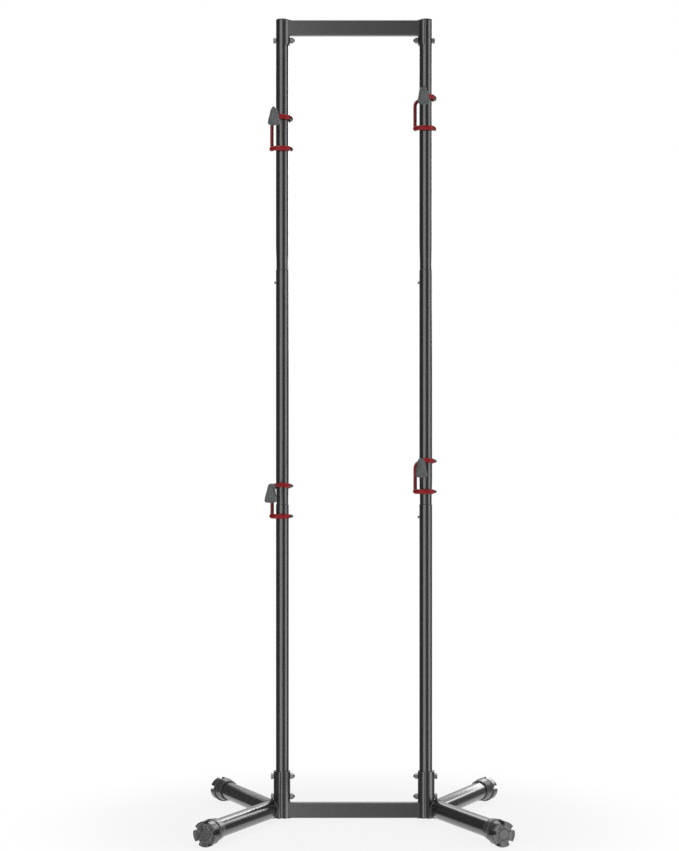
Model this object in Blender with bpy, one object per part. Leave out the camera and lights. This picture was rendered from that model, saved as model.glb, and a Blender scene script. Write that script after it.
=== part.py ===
"""Two-bike gravity storage rack.

Two tubular posts stand on V-shaped legs and carry four bent-rod arms. The load on an arm's cradle tips it,
so that its lower loop bears on the front of the post and its upper loop on the back, and the arm jams.

Metres, +Z up, +X to the right, the viewer at -Y. The origin is on the floor, midway between the posts.
"""

import math

import bmesh
import bpy
from mathutils import Matrix, Vector

# Clearance between pieces that touch
CLEARANCE = 0.0003

# Overall
RACK_HEIGHT = 2.0
POST_SPACING = 0.357

# Posts: three sections each, joined by a spigot below a drawn-in neck, and a spring button
POST_RADIUS = 0.016
POST_WALL = 0.0015
POST_FOOT = 0.012
LOWER_JOINT = 0.792
UPPER_JOINT = 1.3755
SPIGOT_LENGTH = 0.070
NECK_RADIUS = 0.0149
NECK_LENGTH = 0.018
NECK_TAPER = 0.040
TUBE_EDGE = 0.0007
POST_SIDES = 20

# Plugs in the post tops
PLUG_FLANGE = 0.003
PLUG_STEM = 0.020
PLUG_WALL = 0.002

# Spring buttons in the post joints
BUTTON_BELOW_JOINT = 0.032
BUTTON_RADIUS = 0.00325
BUTTON_PROUD = 0.0045
BUTTON_FLANGE_RADIUS = 0.00475
BUTTON_FLANGE = 0.0012
BUTTON_SIDES = 8
SPRING_STRIP = 0.0006
SPRING_WIDTH = 0.007
SPRING_DROP = 0.036
SPRING_RISE = 0.007
SPRING_FOLD_RADIUS = 0.003

# Crossbars and their inner saddles
CROSSBAR_HEIGHT = 0.038
CROSSBAR_DEPTH = 0.020
CROSSBAR_WALL = 0.0015
CROSSBAR_CORNER = 0.003
LOWER_CROSSBAR_BASE = 0.012
UPPER_CROSSBAR_BELOW_TOP = 0.004
VENT_RADIUS = 0.0025
VENT_FROM_POST = 0.040
INNER_SADDLE_WALL = 0.0035
INNER_SADDLE_HALF_ANGLE = math.radians(78)
UPPER_SADDLE_HEIGHT = 0.0615

# Outer saddles and leg frames
SADDLE_HEIGHT = 0.1165
OUTER_SADDLE_WALL = 0.0055
OUTER_SADDLE_HALF_ANGLE = math.radians(76)
LEG_RADIUS = 0.0225
LEG_WALL = 0.002
LEG_APEX_FROM_POST = 0.0265
LEG_REACH = 0.345
LEG_ANGLE = math.radians(65)
LEG_SIDES = 20

# Levelling caps on the leg ends: a grooved head, off centre from the collar that turns on the tube
CAP_HEAD_RADIUS = 0.0305
CAP_OFFSET = 0.0025
CAP_HEAD_LENGTH = 0.025
CAP_EDGE = 0.002
CAP_NECK_RADIUS = 0.027
CAP_NECK_LENGTH = 0.006
CAP_COLLAR_RADIUS = 0.029
CAP_LIP_RADIUS = 0.026
CAP_COLLAR_LENGTH = 0.027
CAP_END_WALL = 0.002
CAP_CHANNELS = 5
CAP_CHANNEL_WIDTH = 0.008
CAP_CHANNEL_DEPTH = 0.009
LEFT_CAP_FIRST_CHANNEL = math.radians(12)
CAP_SIDES = 20

# Fasteners, all M8
BOLT_RADIUS = 0.004
HEX_ACROSS_FLATS = 0.013
BOLT_HEAD = 0.0065
NUT_HEIGHT = 0.008
NUT_COLLAR = 0.0022
NUT_COLLAR_RADIUS = 0.0058
BOLT_END_PROUD = 0.003
LOWER_BOLT_ABOVE_LEG = 0.0095
UPPER_BOLT_BELOW_SADDLE_TOP = 0.0133
TOP_BOLT_BELOW_CROSSBAR = 0.0116
BOLT_SIDES = 8

# Arms: one bent rod each, with sleeves where it goes round the post
ROD_RADIUS = 0.0045
ROD_SIDES = 8
SLEEVE_RADIUS = 0.00625
LOOP_SPACING = 0.072
LOOP_DROP = 0.005
UPPER_LOOP_SLACK = 0.0032
ARM_LEFT_OF_POST = 0.0156
RISER_LEFT_OF_POST = 0.0262
RISER_TOP_RADIUS = 0.018
RISER_FOOT_RADIUS = 0.010
REAR_TURN_RADIUS = 0.012
REAR_TURN = math.radians(45)
HOOK_SWEEP = math.radians(112.5)
TURN_STEP = math.radians(22.5)
TIGHT_TURN_STEP = math.radians(30)

# Cradles on the arms' front ends
CRADLE_REACH = 0.153
CRADLE_RADIUS = 0.021
CRADLE_CENTRE_BELOW_ROD = 0.007
CRADLE_NECK_RADIUS = 0.010
CRADLE_TIP_HEIGHT = 0.015
CRADLE_TIP_COVER = 0.005
CRADLE_TAIL = 0.010
CRADLE_THICKNESS = 0.012
CRADLE_TIP_WIDTH = 0.0105
CRADLE_SEAT_WIDTH = 0.0285
CRADLE_TAIL_WIDTH = 0.012
CRADLE_SWELL = 1.2
CRADLE_SIDES = 8

# Places of the arms' lower loops, from the rack's top and from the floor, and how far two are swivelled
UPPER_LEFT_ARM_BELOW_TOP = 0.324
UPPER_RIGHT_ARM_BELOW_TOP = 0.2735
LOWER_LEFT_ARM_HEIGHT = 0.7627
LOWER_RIGHT_ARM_HEIGHT = 0.8239
UPPER_RIGHT_SWIVEL = math.radians(2)
LOWER_LEFT_SWIVEL = math.radians(-3)

# Worked out from the sizes above
POST_X = POST_SPACING / 2
POST_TOP = RACK_HEIGHT - PLUG_FLANGE - CLEARANCE
POST_BORE = POST_RADIUS - POST_WALL
SPIGOT_RADIUS = POST_BORE - CLEARANCE
SPIGOT_BORE = SPIGOT_RADIUS - POST_WALL
SEAT_RADIUS = POST_RADIUS + CLEARANCE
INNER_SADDLE_RADIUS = SEAT_RADIUS + INNER_SADDLE_WALL
OUTER_SADDLE_RADIUS = SEAT_RADIUS + OUTER_SADDLE_WALL
LEG_HEIGHT = CAP_HEAD_RADIUS + CAP_OFFSET
LEG_BORE = LEG_RADIUS - LEG_WALL
SADDLE_TOP = POST_FOOT + SADDLE_HEIGHT
UPPER_CROSSBAR_TOP = RACK_HEIGHT - UPPER_CROSSBAR_BELOW_TOP
UPPER_CROSSBAR_BASE = UPPER_CROSSBAR_TOP - CROSSBAR_HEIGHT
BOLT_HEIGHTS = {
    "lower_base": LEG_HEIGHT + LEG_RADIUS + LOWER_BOLT_ABOVE_LEG,
    "upper_base": SADDLE_TOP - UPPER_BOLT_BELOW_SADDLE_TOP,
    "top": UPPER_CROSSBAR_BASE - TOP_BOLT_BELOW_CROSSBAR,
}
CAP_BORE = LEG_RADIUS + CLEARANCE
CAP_BORE_END = LEG_REACH - CAP_HEAD_LENGTH - CAP_END_WALL
LEG_TUBE_END = CAP_BORE_END - CLEARANCE
BOLT_HOLE = BOLT_RADIUS + CLEARANCE
BUTTON_HOLE = BUTTON_RADIUS + CLEARANCE
SLEEVE_BORE = ROD_RADIUS + CLEARANCE / math.cos(math.pi / ROD_SIDES)
LOOP_RADIUS = (SEAT_RADIUS + SLEEVE_RADIUS) / math.cos(TURN_STEP / 2)
BUTTON_PHASE = math.pi / BUTTON_SIDES / 2
BOLT_PHASE = math.pi / BOLT_SIDES / 2
LENGTHWAYS = Matrix.Rotation(math.pi / 2, 3, "Y")


def srgb(red, green, blue):
    """Linear colour of an 8-bit colour."""
    return [((value / 255 + 0.055) / 1.055) ** 2.4 for value in (red, green, blue)] + [1]


def make_material(name, colour, roughness, metallic=0.0):
    material = bpy.data.materials.new(name)
    material.use_nodes = True
    shader = material.node_tree.nodes["Principled BSDF"]
    shader.inputs["Base Color"].default_value = colour
    shader.inputs["Roughness"].default_value = roughness
    shader.inputs["Metallic"].default_value = metallic
    return material


def add_object(name, shape, material=None, parent=None, location=(0, 0, 0), turn=None):
    """An object of a bmesh shape, at a place and turned by a 3x3 matrix."""
    bmesh.ops.recalc_face_normals(shape, faces=shape.faces)
    mesh = bpy.data.meshes.new(name)
    shape.to_mesh(mesh)
    shape.free()
    mesh.shade_smooth()
    mesh.set_sharp_from_angle(angle=math.radians(35))
    if material:
        mesh.materials.append(material)
    item = bpy.data.objects.new(name, mesh)
    bpy.context.collection.objects.link(item)
    item.location = location
    if turn:
        item.rotation_euler = turn.to_euler()
    item.parent = parent
    return item


def add_helper(name, shape, **place):
    """An object that only cuts or joins others, and isn't part of the rack."""
    helper = add_object(name, shape, **place)
    helper.hide_render = True
    helper.display_type = "WIRE"
    return helper


def add_pivot(name, location, turn=None):
    pivot = bpy.data.objects.new(name, None)
    bpy.context.collection.objects.link(pivot)
    pivot.location = location
    if turn:
        pivot.rotation_euler = turn.to_euler()
    return pivot


def combine(item, helper, operation="DIFFERENCE"):
    """Cut a helper out of an item, or join it on."""
    modifier = item.modifiers.new(helper.name, "BOOLEAN")
    modifier.operation = operation
    modifier.solver = "EXACT"
    modifier.object = helper


def turned(profile, sides, ring=False, phase=0.0):
    """A profile of (radius, height) points turned about Z. A ring's profile closes on itself.
    The first corner of the outline lies at the phase angle from +X."""
    shape = bmesh.new()
    corners = [
        shape.verts.new((radius * math.cos(phase), radius * math.sin(phase), height)) for radius, height in profile
    ]
    pairs = list(zip(corners, corners[1:]))
    if ring:
        pairs.append((corners[-1], corners[0]))
    edges = [shape.edges.new(pair) for pair in pairs]
    bmesh.ops.spin(
        shape, geom=corners + edges, cent=(0, 0, 0), axis=(0, 0, 1), angle=math.tau, steps=sides, use_merge=True
    )
    bmesh.ops.remove_doubles(shape, verts=shape.verts, dist=1e-6)
    return shape


def rod_shape(radius, start, end, sides, phase=0.0):
    """A round bar along Z."""
    return turned([(0, start), (radius, start), (radius, end), (0, end)], sides, phase=phase)


def prism(outline, start, end):
    """An outline of (x, y) points, extruded from one height to another."""
    shape = bmesh.new()
    face = shape.faces.new([shape.verts.new((x, y, start)) for x, y in outline])
    extruded = bmesh.ops.extrude_face_region(shape, geom=[face])
    raised = [item for item in extruded["geom"] if isinstance(item, bmesh.types.BMVert)]
    bmesh.ops.translate(shape, verts=raised, vec=(0, 0, end - start))
    return shape


def arc(radius, first, last, steps, centre=(0.0, 0.0)):
    """Points along an arc, from one angle to another."""
    angles = [first + (last - first) * step / steps for step in range(steps + 1)]
    return [(centre[0] + radius * math.cos(angle), centre[1] + radius * math.sin(angle)) for angle in angles]


def rounded_rectangle(width, height, corner, steps=2):
    """Outline of a rectangle with round corners, centred on the origin."""
    points = []
    for quarter, (across, up) in enumerate(((1, 1), (-1, 1), (-1, -1), (1, -1))):
        centre = (across * (width / 2 - corner), up * (height / 2 - corner))
        first = quarter * math.pi / 2
        points += arc(corner, first, first + math.pi / 2, steps, centre)
    return points


def swept(points, section, first_normal):
    """A closed tube along points. section(i) gives the outline at point i, as (sideways, outward) offsets
    from the path, and the sideways direction is carried along without twisting."""
    shape = bmesh.new()
    steps = [(after - before).normalized() for before, after in zip(points, points[1:])]
    tangents = [steps[0]] + [(one + two).normalized() for one, two in zip(steps, steps[1:])] + [steps[-1]]
    normal = Vector(first_normal)
    rings = []
    for index, (point, tangent) in enumerate(zip(points, tangents)):
        if index:
            normal = tangents[index - 1].rotation_difference(tangent) @ normal
        outward = tangent.cross(normal)
        rings.append([shape.verts.new(point + normal * x + outward * y) for x, y in section(index)])
    for ring, following in zip(rings, rings[1:]):
        for corner in range(len(ring)):
            beside = (corner + 1) % len(ring)
            shape.faces.new((ring[corner], ring[beside], following[beside], following[corner]))
    shape.faces.new(rings[0])
    shape.faces.new(rings[-1])
    return shape


def round_section(radius, sides):
    """A regular outline for swept(), with a corner on the sideways axis."""
    return [
        (radius * math.cos(math.tau * side / sides), radius * math.sin(math.tau * side / sides))
        for side in range(sides)
    ]


class BentRod:
    """The centreline of a rod, laid out as a bender makes it: straights and bends, one after another."""

    def __init__(self, start, heading):
        self.points = [Vector(start)]
        self.heading = Vector(heading)

    def straight(self, length):
        self.points.append(self.points[-1] + self.heading * length)

    def bend(self, toward, radius, angle, fall=0.0, step_angle=TURN_STEP):
        """Turn toward a direction square to the heading, falling evenly as it goes."""
        start = self.points[-1]
        toward = Vector(toward)
        steps = max(2, round(angle / step_angle))
        for step in range(1, steps + 1):
            turn = angle * step / steps
            across = toward * (radius * (1 - math.cos(turn)))
            along = self.heading * (radius * math.sin(turn))
            self.points.append(start + across + along - Vector((0, 0, fall * step / steps)))
        self.heading = self.heading * math.cos(angle) + toward * math.sin(angle)

    def here(self):
        return len(self.points) - 1


def lay_out_arm():
    """The arm's centreline about its post's axis, from the tip in the cradle to the end of the lower loop,
    with the height of the lower loop at 0. Returns the rod and the points where each covering starts and ends."""
    front, back, right, down = Vector((0, -1, 0)), Vector((0, 1, 0)), Vector((1, 0, 0)), Vector((0, 0, -1))
    spans = {}
    quarter = math.pi / 2
    half_quarter_steps = round(quarter / TURN_STEP / 2)
    rise = CRADLE_CENTRE_BELOW_ROD - CRADLE_NECK_RADIUS
    neck_turn = math.acos(rise / (CRADLE_RADIUS + CRADLE_NECK_RADIUS))
    neck_run = (CRADLE_RADIUS + CRADLE_NECK_RADIUS) * math.sin(neck_turn)
    cradle_centre = LOOP_SPACING - CRADLE_CENTRE_BELOW_ROD
    front_strand = LOOP_RADIUS + UPPER_LOOP_SLACK

    rod = BentRod(
        (-ARM_LEFT_OF_POST, -CRADLE_REACH - CRADLE_RADIUS, cradle_centre + CRADLE_TIP_HEIGHT - CRADLE_TIP_COVER), down
    )
    rod.straight(CRADLE_TIP_HEIGHT - CRADLE_TIP_COVER)
    rod.bend(back, CRADLE_RADIUS, quarter + neck_turn)
    rod.bend((0, math.sin(neck_turn), -math.cos(neck_turn)), CRADLE_NECK_RADIUS, neck_turn, 0.0, TIGHT_TURN_STEP)
    rod.heading = back.copy()
    rod.straight(CRADLE_TAIL)
    spans["cradle"] = (0, rod.here())
    rod.straight(CRADLE_REACH - neck_run - CRADLE_TAIL - front_strand - ARM_LEFT_OF_POST)

    rod.bend(right, ARM_LEFT_OF_POST, quarter, 0.0, TIGHT_TURN_STEP)
    front_middle = rod.here()
    rod.bend(back, LOOP_RADIUS, quarter, LOOP_DROP / 2)
    spans["front_sleeve"] = (front_middle - 1, front_middle + half_quarter_steps)
    rod.straight(UPPER_LOOP_SLACK)
    right_middle = rod.here()
    rod.bend(-right, LOOP_RADIUS, quarter, LOOP_DROP / 2)
    rod.straight(RISER_LEFT_OF_POST - REAR_TURN_RADIUS * math.sin(REAR_TURN) - RISER_TOP_RADIUS * math.cos(REAR_TURN))
    spans["rear_sleeve"] = (right_middle + half_quarter_steps, rod.here())

    rod.bend(front, REAR_TURN_RADIUS, REAR_TURN)
    rod.bend(down, RISER_TOP_RADIUS, quarter, 0.0, TIGHT_TURN_STEP)
    rod.straight(rod.points[-1].z - RISER_FOOT_RADIUS)
    rod.bend(front, RISER_FOOT_RADIUS, quarter, 0.0, TIGHT_TURN_STEP)

    side_turn = LOOP_RADIUS + rod.points[-1].y
    lower_start = rod.here()
    rod.bend(right, side_turn, quarter, 0.0, TIGHT_TURN_STEP)
    rod.straight(RISER_LEFT_OF_POST - side_turn)
    lower_middle = rod.here()
    rod.bend(back, LOOP_RADIUS, HOOK_SWEEP)
    spans["lower_sleeve"] = (lower_start, lower_middle + half_quarter_steps)
    return rod, spans


def post_section(bottom, top, spigot):
    """One length of post tube. Where it plugs into another, it is drawn in to a neck above a thinner spigot."""
    profile = [
        (POST_RADIUS, top - TUBE_EDGE),
        (POST_RADIUS - TUBE_EDGE, top),
        (POST_BORE, top),
    ]
    if spigot:
        shoulder = bottom + CLEARANCE
        neck_top = shoulder + NECK_LENGTH
        full_width = neck_top + NECK_TAPER
        profile += [
            (POST_BORE, full_width),
            (NECK_RADIUS - POST_WALL, neck_top),
            (SPIGOT_BORE, shoulder),
            (SPIGOT_BORE, bottom - SPIGOT_LENGTH),
            (SPIGOT_RADIUS, bottom - SPIGOT_LENGTH),
            (SPIGOT_RADIUS, shoulder),
            (NECK_RADIUS, shoulder),
            (NECK_RADIUS, neck_top),
            (POST_RADIUS, full_width),
        ]
    else:
        profile += [(POST_BORE, bottom), (POST_RADIUS, bottom)]
    return turned(profile, POST_SIDES, ring=True)


def make_post(side, x, frame_paint, steel):
    """A post of three sections, with a spring button and its spring in each joint."""
    lengths = {
        "lower": (POST_FOOT, LOWER_JOINT),
        "middle": (LOWER_JOINT, UPPER_JOINT),
        "upper": (UPPER_JOINT, POST_TOP),
    }
    sections = {}
    for part, (bottom, top) in lengths.items():
        shape = post_section(bottom, top, part != "lower")
        sections[part] = add_object(f"{side}_post_{part}", shape, frame_paint, location=(x, 0, 0))

    for below, above, joint in (("lower", "middle", LOWER_JOINT), ("middle", "upper", UPPER_JOINT)):
        height = joint - BUTTON_BELOW_JOINT
        hole = add_helper(
            f"{side}_{below}_button_hole",
            rod_shape(BUTTON_HOLE, -POST_RADIUS - BUTTON_PROUD, -SPIGOT_BORE / 2, BUTTON_SIDES, BUTTON_PHASE),
            location=(x, 0, height),
            turn=LENGTHWAYS,
        )
        combine(sections[below], hole)
        combine(sections[above], hole)
        add_object(f"{side}_{below}_joint_button", button_shape(), steel, location=(x, 0, height), turn=LENGTHWAYS)
        add_object(
            f"{side}_{below}_button_spring",
            spring_shape(),
            steel,
            location=(x, 0, height),
            turn=Matrix.Rotation(math.pi / 2, 3, "X"),
        )
    return sections


def button_flange_seat():
    """Distance from the post's axis to the outer face of a button's flange, inside the spigot."""
    return SPIGOT_BORE * math.cos(math.pi / POST_SIDES) * math.cos(
        math.asin(BUTTON_FLANGE_RADIUS / SPIGOT_BORE)
    ) - CLEARANCE


def button_shape():
    """A domed button on the post's axis frame, its dome toward -Z, with a flange behind the spigot's wall."""
    seat = button_flange_seat()
    face = POST_RADIUS + BUTTON_PROUD
    dome = BUTTON_RADIUS * 0.45
    profile = [(0, -face), (BUTTON_RADIUS * 0.6, -face + dome * 0.25), (BUTTON_RADIUS, -face + dome)]
    profile += [(BUTTON_RADIUS, -seat), (BUTTON_FLANGE_RADIUS, -seat), (BUTTON_FLANGE_RADIUS, BUTTON_FLANGE - seat)]
    profile += [(0, BUTTON_FLANGE - seat)]
    return turned(profile, BUTTON_SIDES, phase=BUTTON_PHASE)


def spring_shape():
    """A V of spring strip: one leg behind the button, the other on the far wall of the spigot, the fold below."""
    near = -(button_flange_seat() - BUTTON_FLANGE - CLEARANCE - SPRING_STRIP / 2)
    far = math.sqrt(SPIGOT_BORE**2 - (SPRING_WIDTH / 2) ** 2) * math.cos(math.pi / POST_SIDES)
    far -= CLEARANCE + SPRING_STRIP / 2
    middle = (near + far) / 2
    fold = arc(SPRING_FOLD_RADIUS, math.pi, math.tau, 4, (middle, -SPRING_DROP + SPRING_FOLD_RADIUS))
    line = [(near, SPRING_RISE), (near, -SPRING_RISE)] + fold + [(far, -SPRING_RISE), (far, SPRING_RISE)]
    return prism(thick_line(line, SPRING_STRIP), -SPRING_WIDTH / 2, SPRING_WIDTH / 2)


def thick_line(line, thickness):
    """Outline of a strip of even thickness along a line of (x, y) points."""
    points = [Vector(point) for point in line]
    steps = [(after - before).normalized() for before, after in zip(points, points[1:])]
    left, right = [], []
    for index, point in enumerate(points):
        before = steps[max(index - 1, 0)]
        after = steps[min(index, len(steps) - 1)]
        along = (before + after).normalized()
        reach = thickness / 2 / max(along.dot(before), 0.5)
        offset = Vector((-along.y, along.x)) * reach
        left.append(point + offset)
        right.append(point - offset)
    return [tuple(point) for point in left + right[::-1]]


def make_plug(side, x, plastic):
    """A plug in a post's top: a low domed flange on a hollow stem."""
    top = RACK_HEIGHT
    flange = top - PLUG_FLANGE
    stem = POST_BORE - CLEARANCE
    core = stem - PLUG_WALL
    end = flange - PLUG_STEM
    profile = [
        (0, top),
        (POST_RADIUS * 0.85, top - PLUG_FLANGE * 0.25),
        (POST_RADIUS, top - PLUG_FLANGE * 0.7),
        (POST_RADIUS, flange),
        (stem, flange),
        (stem, end),
        (core, end),
        (core, flange),
        (0, flange),
    ]
    return add_object(f"{side}_post_plug", turned(profile, POST_SIDES), plastic, location=(x, 0, 0))


def saddle_shape(outer, half_angle, bottom, top, facing):
    """A wedge-shaped blank of a saddle plate, on the side of the post's axis that it faces. The post's seat
    is cut from it later."""
    middle = 0.0 if facing > 0 else math.pi
    steps = 2 * math.ceil(half_angle / math.radians(13))
    rim = arc(outer, middle - half_angle, middle + half_angle, steps)
    heel = arc(POST_RADIUS / 2, middle + half_angle, middle - half_angle, 2)
    return prism(rim + heel, bottom, top)


def make_bolt_holes(side, x):
    """The holes of a post's bolts, keyed by the place of each."""
    reach = OUTER_SADDLE_RADIUS + POST_RADIUS
    holes = {}
    for place, height in BOLT_HEIGHTS.items():
        shape = rod_shape(BOLT_HOLE, -reach, reach, BOLT_SIDES, BOLT_PHASE)
        holes[place] = add_helper(f"{side}_{place}_bolt_hole", shape, location=(x, 0, height), turn=LENGTHWAYS)
    return holes


def make_seat(side, x, holes):
    """The space of a post, its clearance and its bolts, cut from each saddle that holds it."""
    shape = rod_shape(SEAT_RADIUS, -POST_FOOT, RACK_HEIGHT + POST_FOOT, POST_SIDES)
    seat = add_helper(f"{side}_post_seat", shape, location=(x, 0, 0))
    for hole in holes.values():
        combine(seat, hole, "UNION")
    return seat


def make_crossbar(name, base, saddle_bottom, saddle_top, seats, frame_paint):
    """A flat tube between the posts, closed at its ends by the half-round saddles that it is welded to."""
    blank = POST_X - POST_RADIUS * 0.7
    centre = base + CROSSBAR_HEIGHT / 2
    outline = rounded_rectangle(CROSSBAR_HEIGHT, CROSSBAR_DEPTH, CROSSBAR_CORNER)
    bar = add_object(name, prism(outline, -blank, blank), frame_paint, location=(0, 0, centre), turn=LENGTHWAYS)
    for sign, side in ((-1, "left"), (1, "right")):
        saddle = add_helper(
            f"{name}_{side}_saddle",
            saddle_shape(INNER_SADDLE_RADIUS, INNER_SADDLE_HALF_ANGLE, saddle_bottom, saddle_top, -sign),
            location=(sign * POST_X, 0, 0),
        )
        combine(bar, saddle, "UNION")
        combine(bar, seats[side])

    hollow = rounded_rectangle(
        CROSSBAR_HEIGHT - 2 * CROSSBAR_WALL, CROSSBAR_DEPTH - 2 * CROSSBAR_WALL, CROSSBAR_CORNER - CROSSBAR_WALL, 1
    )
    reach = POST_X - INNER_SADDLE_RADIUS
    inside = add_helper(f"{name}_inside", prism(hollow, -reach, reach), location=(0, 0, centre), turn=LENGTHWAYS)
    combine(bar, inside)
    for sign, side in ((-1, "left"), (1, "right")):
        vent = add_helper(
            f"{name}_{side}_vent",
            rod_shape(VENT_RADIUS, base - CROSSBAR_WALL, centre, 8),
            location=(sign * (POST_X - VENT_FROM_POST), 0, 0),
        )
        combine(bar, vent)


def leg_pair_shape(radius, reach, outward):
    """Two round bars in a V from the apex, mitred on the plane between them."""
    shape = rod_shape(radius, -2 * radius, reach, LEG_SIDES)
    direction = Vector((outward * math.cos(LEG_ANGLE), math.sin(LEG_ANGLE), 0))
    bmesh.ops.transform(shape, matrix=facing_matrix(direction).to_4x4(), verts=shape.verts)
    everything = shape.verts[:] + shape.edges[:] + shape.faces[:]
    bmesh.ops.bisect_plane(shape, geom=everything, plane_co=(0, 0, 0), plane_no=(0, 1, 0), clear_inner=True)
    half = shape.verts[:] + shape.edges[:] + shape.faces[:]
    bmesh.ops.mirror(shape, geom=half, axis="Y", merge_dist=1e-5)
    return shape


def facing_matrix(direction):
    """Turn whose Z axis is a level direction and whose Y axis is up."""
    up = Vector((0, 0, 1))
    return Matrix((up.cross(direction), up, direction)).transposed()


def make_leg_frame(side, outward, seat, frame_paint):
    """Two leg tubes welded in a V to the outer saddle of a post."""
    post = (outward * POST_X, 0, 0)
    apex = (outward * (POST_X + LEG_APEX_FROM_POST), 0, LEG_HEIGHT)
    frame = add_object(
        f"{side}_leg_frame", leg_pair_shape(LEG_RADIUS, LEG_TUBE_END, outward), frame_paint, location=apex
    )
    saddle = add_helper(
        f"{side}_outer_saddle",
        saddle_shape(OUTER_SADDLE_RADIUS, OUTER_SADDLE_HALF_ANGLE, POST_FOOT, SADDLE_TOP, outward),
        location=post,
    )
    combine(frame, saddle, "UNION")
    combine(frame, seat)
    inside = add_helper(
        f"{side}_leg_inside", leg_pair_shape(LEG_BORE, LEG_TUBE_END + LEG_RADIUS, outward), location=apex
    )
    cope = add_helper(
        f"{side}_leg_cope",
        rod_shape(OUTER_SADDLE_RADIUS, -POST_FOOT, SADDLE_HEIGHT, POST_SIDES),
        location=post,
    )
    combine(inside, cope)
    combine(frame, inside)


def make_cap(name, outward, back, plastic):
    """A levelling cap: its collar turns on the leg tube, and its grooved head is set off centre below it."""
    direction = Vector((outward * math.cos(LEG_ANGLE), back * math.sin(LEG_ANGLE), 0))
    place = {
        "location": Vector((outward * (POST_X + LEG_APEX_FROM_POST), 0, LEG_HEIGHT)),
        "turn": facing_matrix(direction),
    }
    head_start = LEG_REACH - CAP_HEAD_LENGTH
    collar_end = head_start - CAP_NECK_LENGTH
    collar_start = collar_end - CAP_COLLAR_LENGTH
    lip = CAP_LIP_RADIUS - CAP_BORE
    body = [
        (CAP_BORE, collar_start),
        (CAP_LIP_RADIUS - lip / 3, collar_start),
        (CAP_LIP_RADIUS, collar_start + lip / 2),
        (CAP_COLLAR_RADIUS, collar_end - CAP_EDGE),
        (CAP_COLLAR_RADIUS - CAP_EDGE / 2, collar_end),
        (CAP_NECK_RADIUS, collar_end),
        (CAP_NECK_RADIUS, head_start + CAP_EDGE),
        (0, head_start + CAP_EDGE),
        (0, CAP_BORE_END),
        (CAP_BORE, CAP_BORE_END),
    ]
    cap = add_object(name, turned(body, CAP_SIDES, ring=True), plastic, **place)

    stretch = 1 / math.cos(math.pi / CAP_SIDES)
    rim = CAP_HEAD_RADIUS * stretch
    edge = CAP_EDGE * stretch
    head = [
        (0, head_start),
        (rim - edge, head_start),
        (rim, head_start + CAP_EDGE),
        (rim, LEG_REACH - CAP_EDGE),
        (rim - edge, LEG_REACH),
        (0, LEG_REACH),
    ]
    head_shape = turned(head, CAP_SIDES, phase=math.pi / CAP_SIDES)
    bmesh.ops.translate(head_shape, verts=head_shape.verts, vec=(0, -CAP_OFFSET, 0))
    head_blank = add_helper(f"{name}_head", head_shape, **place)
    first = LEFT_CAP_FIRST_CHANNEL if outward < 0 else math.pi - LEFT_CAP_FIRST_CHANNEL
    for channel in range(CAP_CHANNELS):
        angle = first - outward * channel * math.tau / CAP_CHANNELS
        cutter = add_helper(f"{name}_channel_{channel}", channel_shape(angle), **place)
        combine(head_blank, cutter)
    combine(cap, head_blank, "UNION")
    return cap


def channel_shape(angle):
    """A round-bottomed channel along a cap's head, at an angle round it."""
    half = CAP_CHANNEL_WIDTH / 2
    floor = CAP_HEAD_RADIUS - CAP_CHANNEL_DEPTH + half
    outline = [(CAP_HEAD_RADIUS + half, -half)]
    outline += [(CAP_HEAD_RADIUS + half, half)]
    outline += arc(half, math.pi / 2, 3 * math.pi / 2, 3, (floor, 0.0))
    shape = prism(outline, LEG_REACH - CAP_HEAD_LENGTH - CAP_EDGE, LEG_REACH + CAP_EDGE)
    bmesh.ops.rotate(shape, verts=shape.verts, matrix=Matrix.Rotation(angle, 3, "Z"))
    bmesh.ops.translate(shape, verts=shape.verts, vec=(0, -CAP_OFFSET, 0))
    return shape


def hexagon(across_flats, start, end, edge):
    """A hexagonal bar along Z, with its corners turned off at the far end."""
    corner = across_flats / 2 / math.cos(math.pi / 6)
    return turned([(0, start), (corner, start), (corner, end - edge), (corner - 2 * edge, end), (0, end)], 6)


def make_bolt(name, x, outward, height, head_seat, nut_seat, steel):
    """A hexagon bolt through a post along X, its head outside and its end inside."""
    place = {"location": (x, 0, height), "turn": Matrix.Rotation(outward * math.pi / 2, 3, "Y")}
    seat = head_seat + CLEARANCE
    end = -(nut_seat + CLEARANCE + NUT_HEIGHT + BOLT_END_PROUD)
    shank = rod_shape(BOLT_RADIUS, end, seat + BOLT_HEAD / 2, BOLT_SIDES, outward * BOLT_PHASE)
    bolt = add_object(name, shank, steel, **place)
    head = hexagon(HEX_ACROSS_FLATS, seat, seat + BOLT_HEAD, BOLT_HEAD / 8)
    combine(bolt, add_helper(f"{name}_head", head, **place), "UNION")


def make_nut(name, x, outward, height, nut_seat, steel):
    """A lock nut with a plain collar, on the inner end of a bolt."""
    place = {"location": (x, 0, height), "turn": Matrix.Rotation(-outward * math.pi / 2, 3, "Y")}
    seat = nut_seat + CLEARANCE
    top = seat + NUT_HEIGHT
    nut = add_object(name, hexagon(HEX_ACROSS_FLATS, seat, top - NUT_COLLAR, NUT_COLLAR / 4), steel, **place)
    collar = rod_shape(NUT_COLLAR_RADIUS, seat + NUT_HEIGHT / 2, top, BOLT_SIDES, -outward * BOLT_PHASE)
    combine(nut, add_helper(f"{name}_collar", collar, **place), "UNION")
    bore = rod_shape(BOLT_HOLE, seat - NUT_HEIGHT, top + NUT_HEIGHT, BOLT_SIDES, -outward * BOLT_PHASE)
    combine(nut, add_helper(f"{name}_bore", bore, **place))


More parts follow.
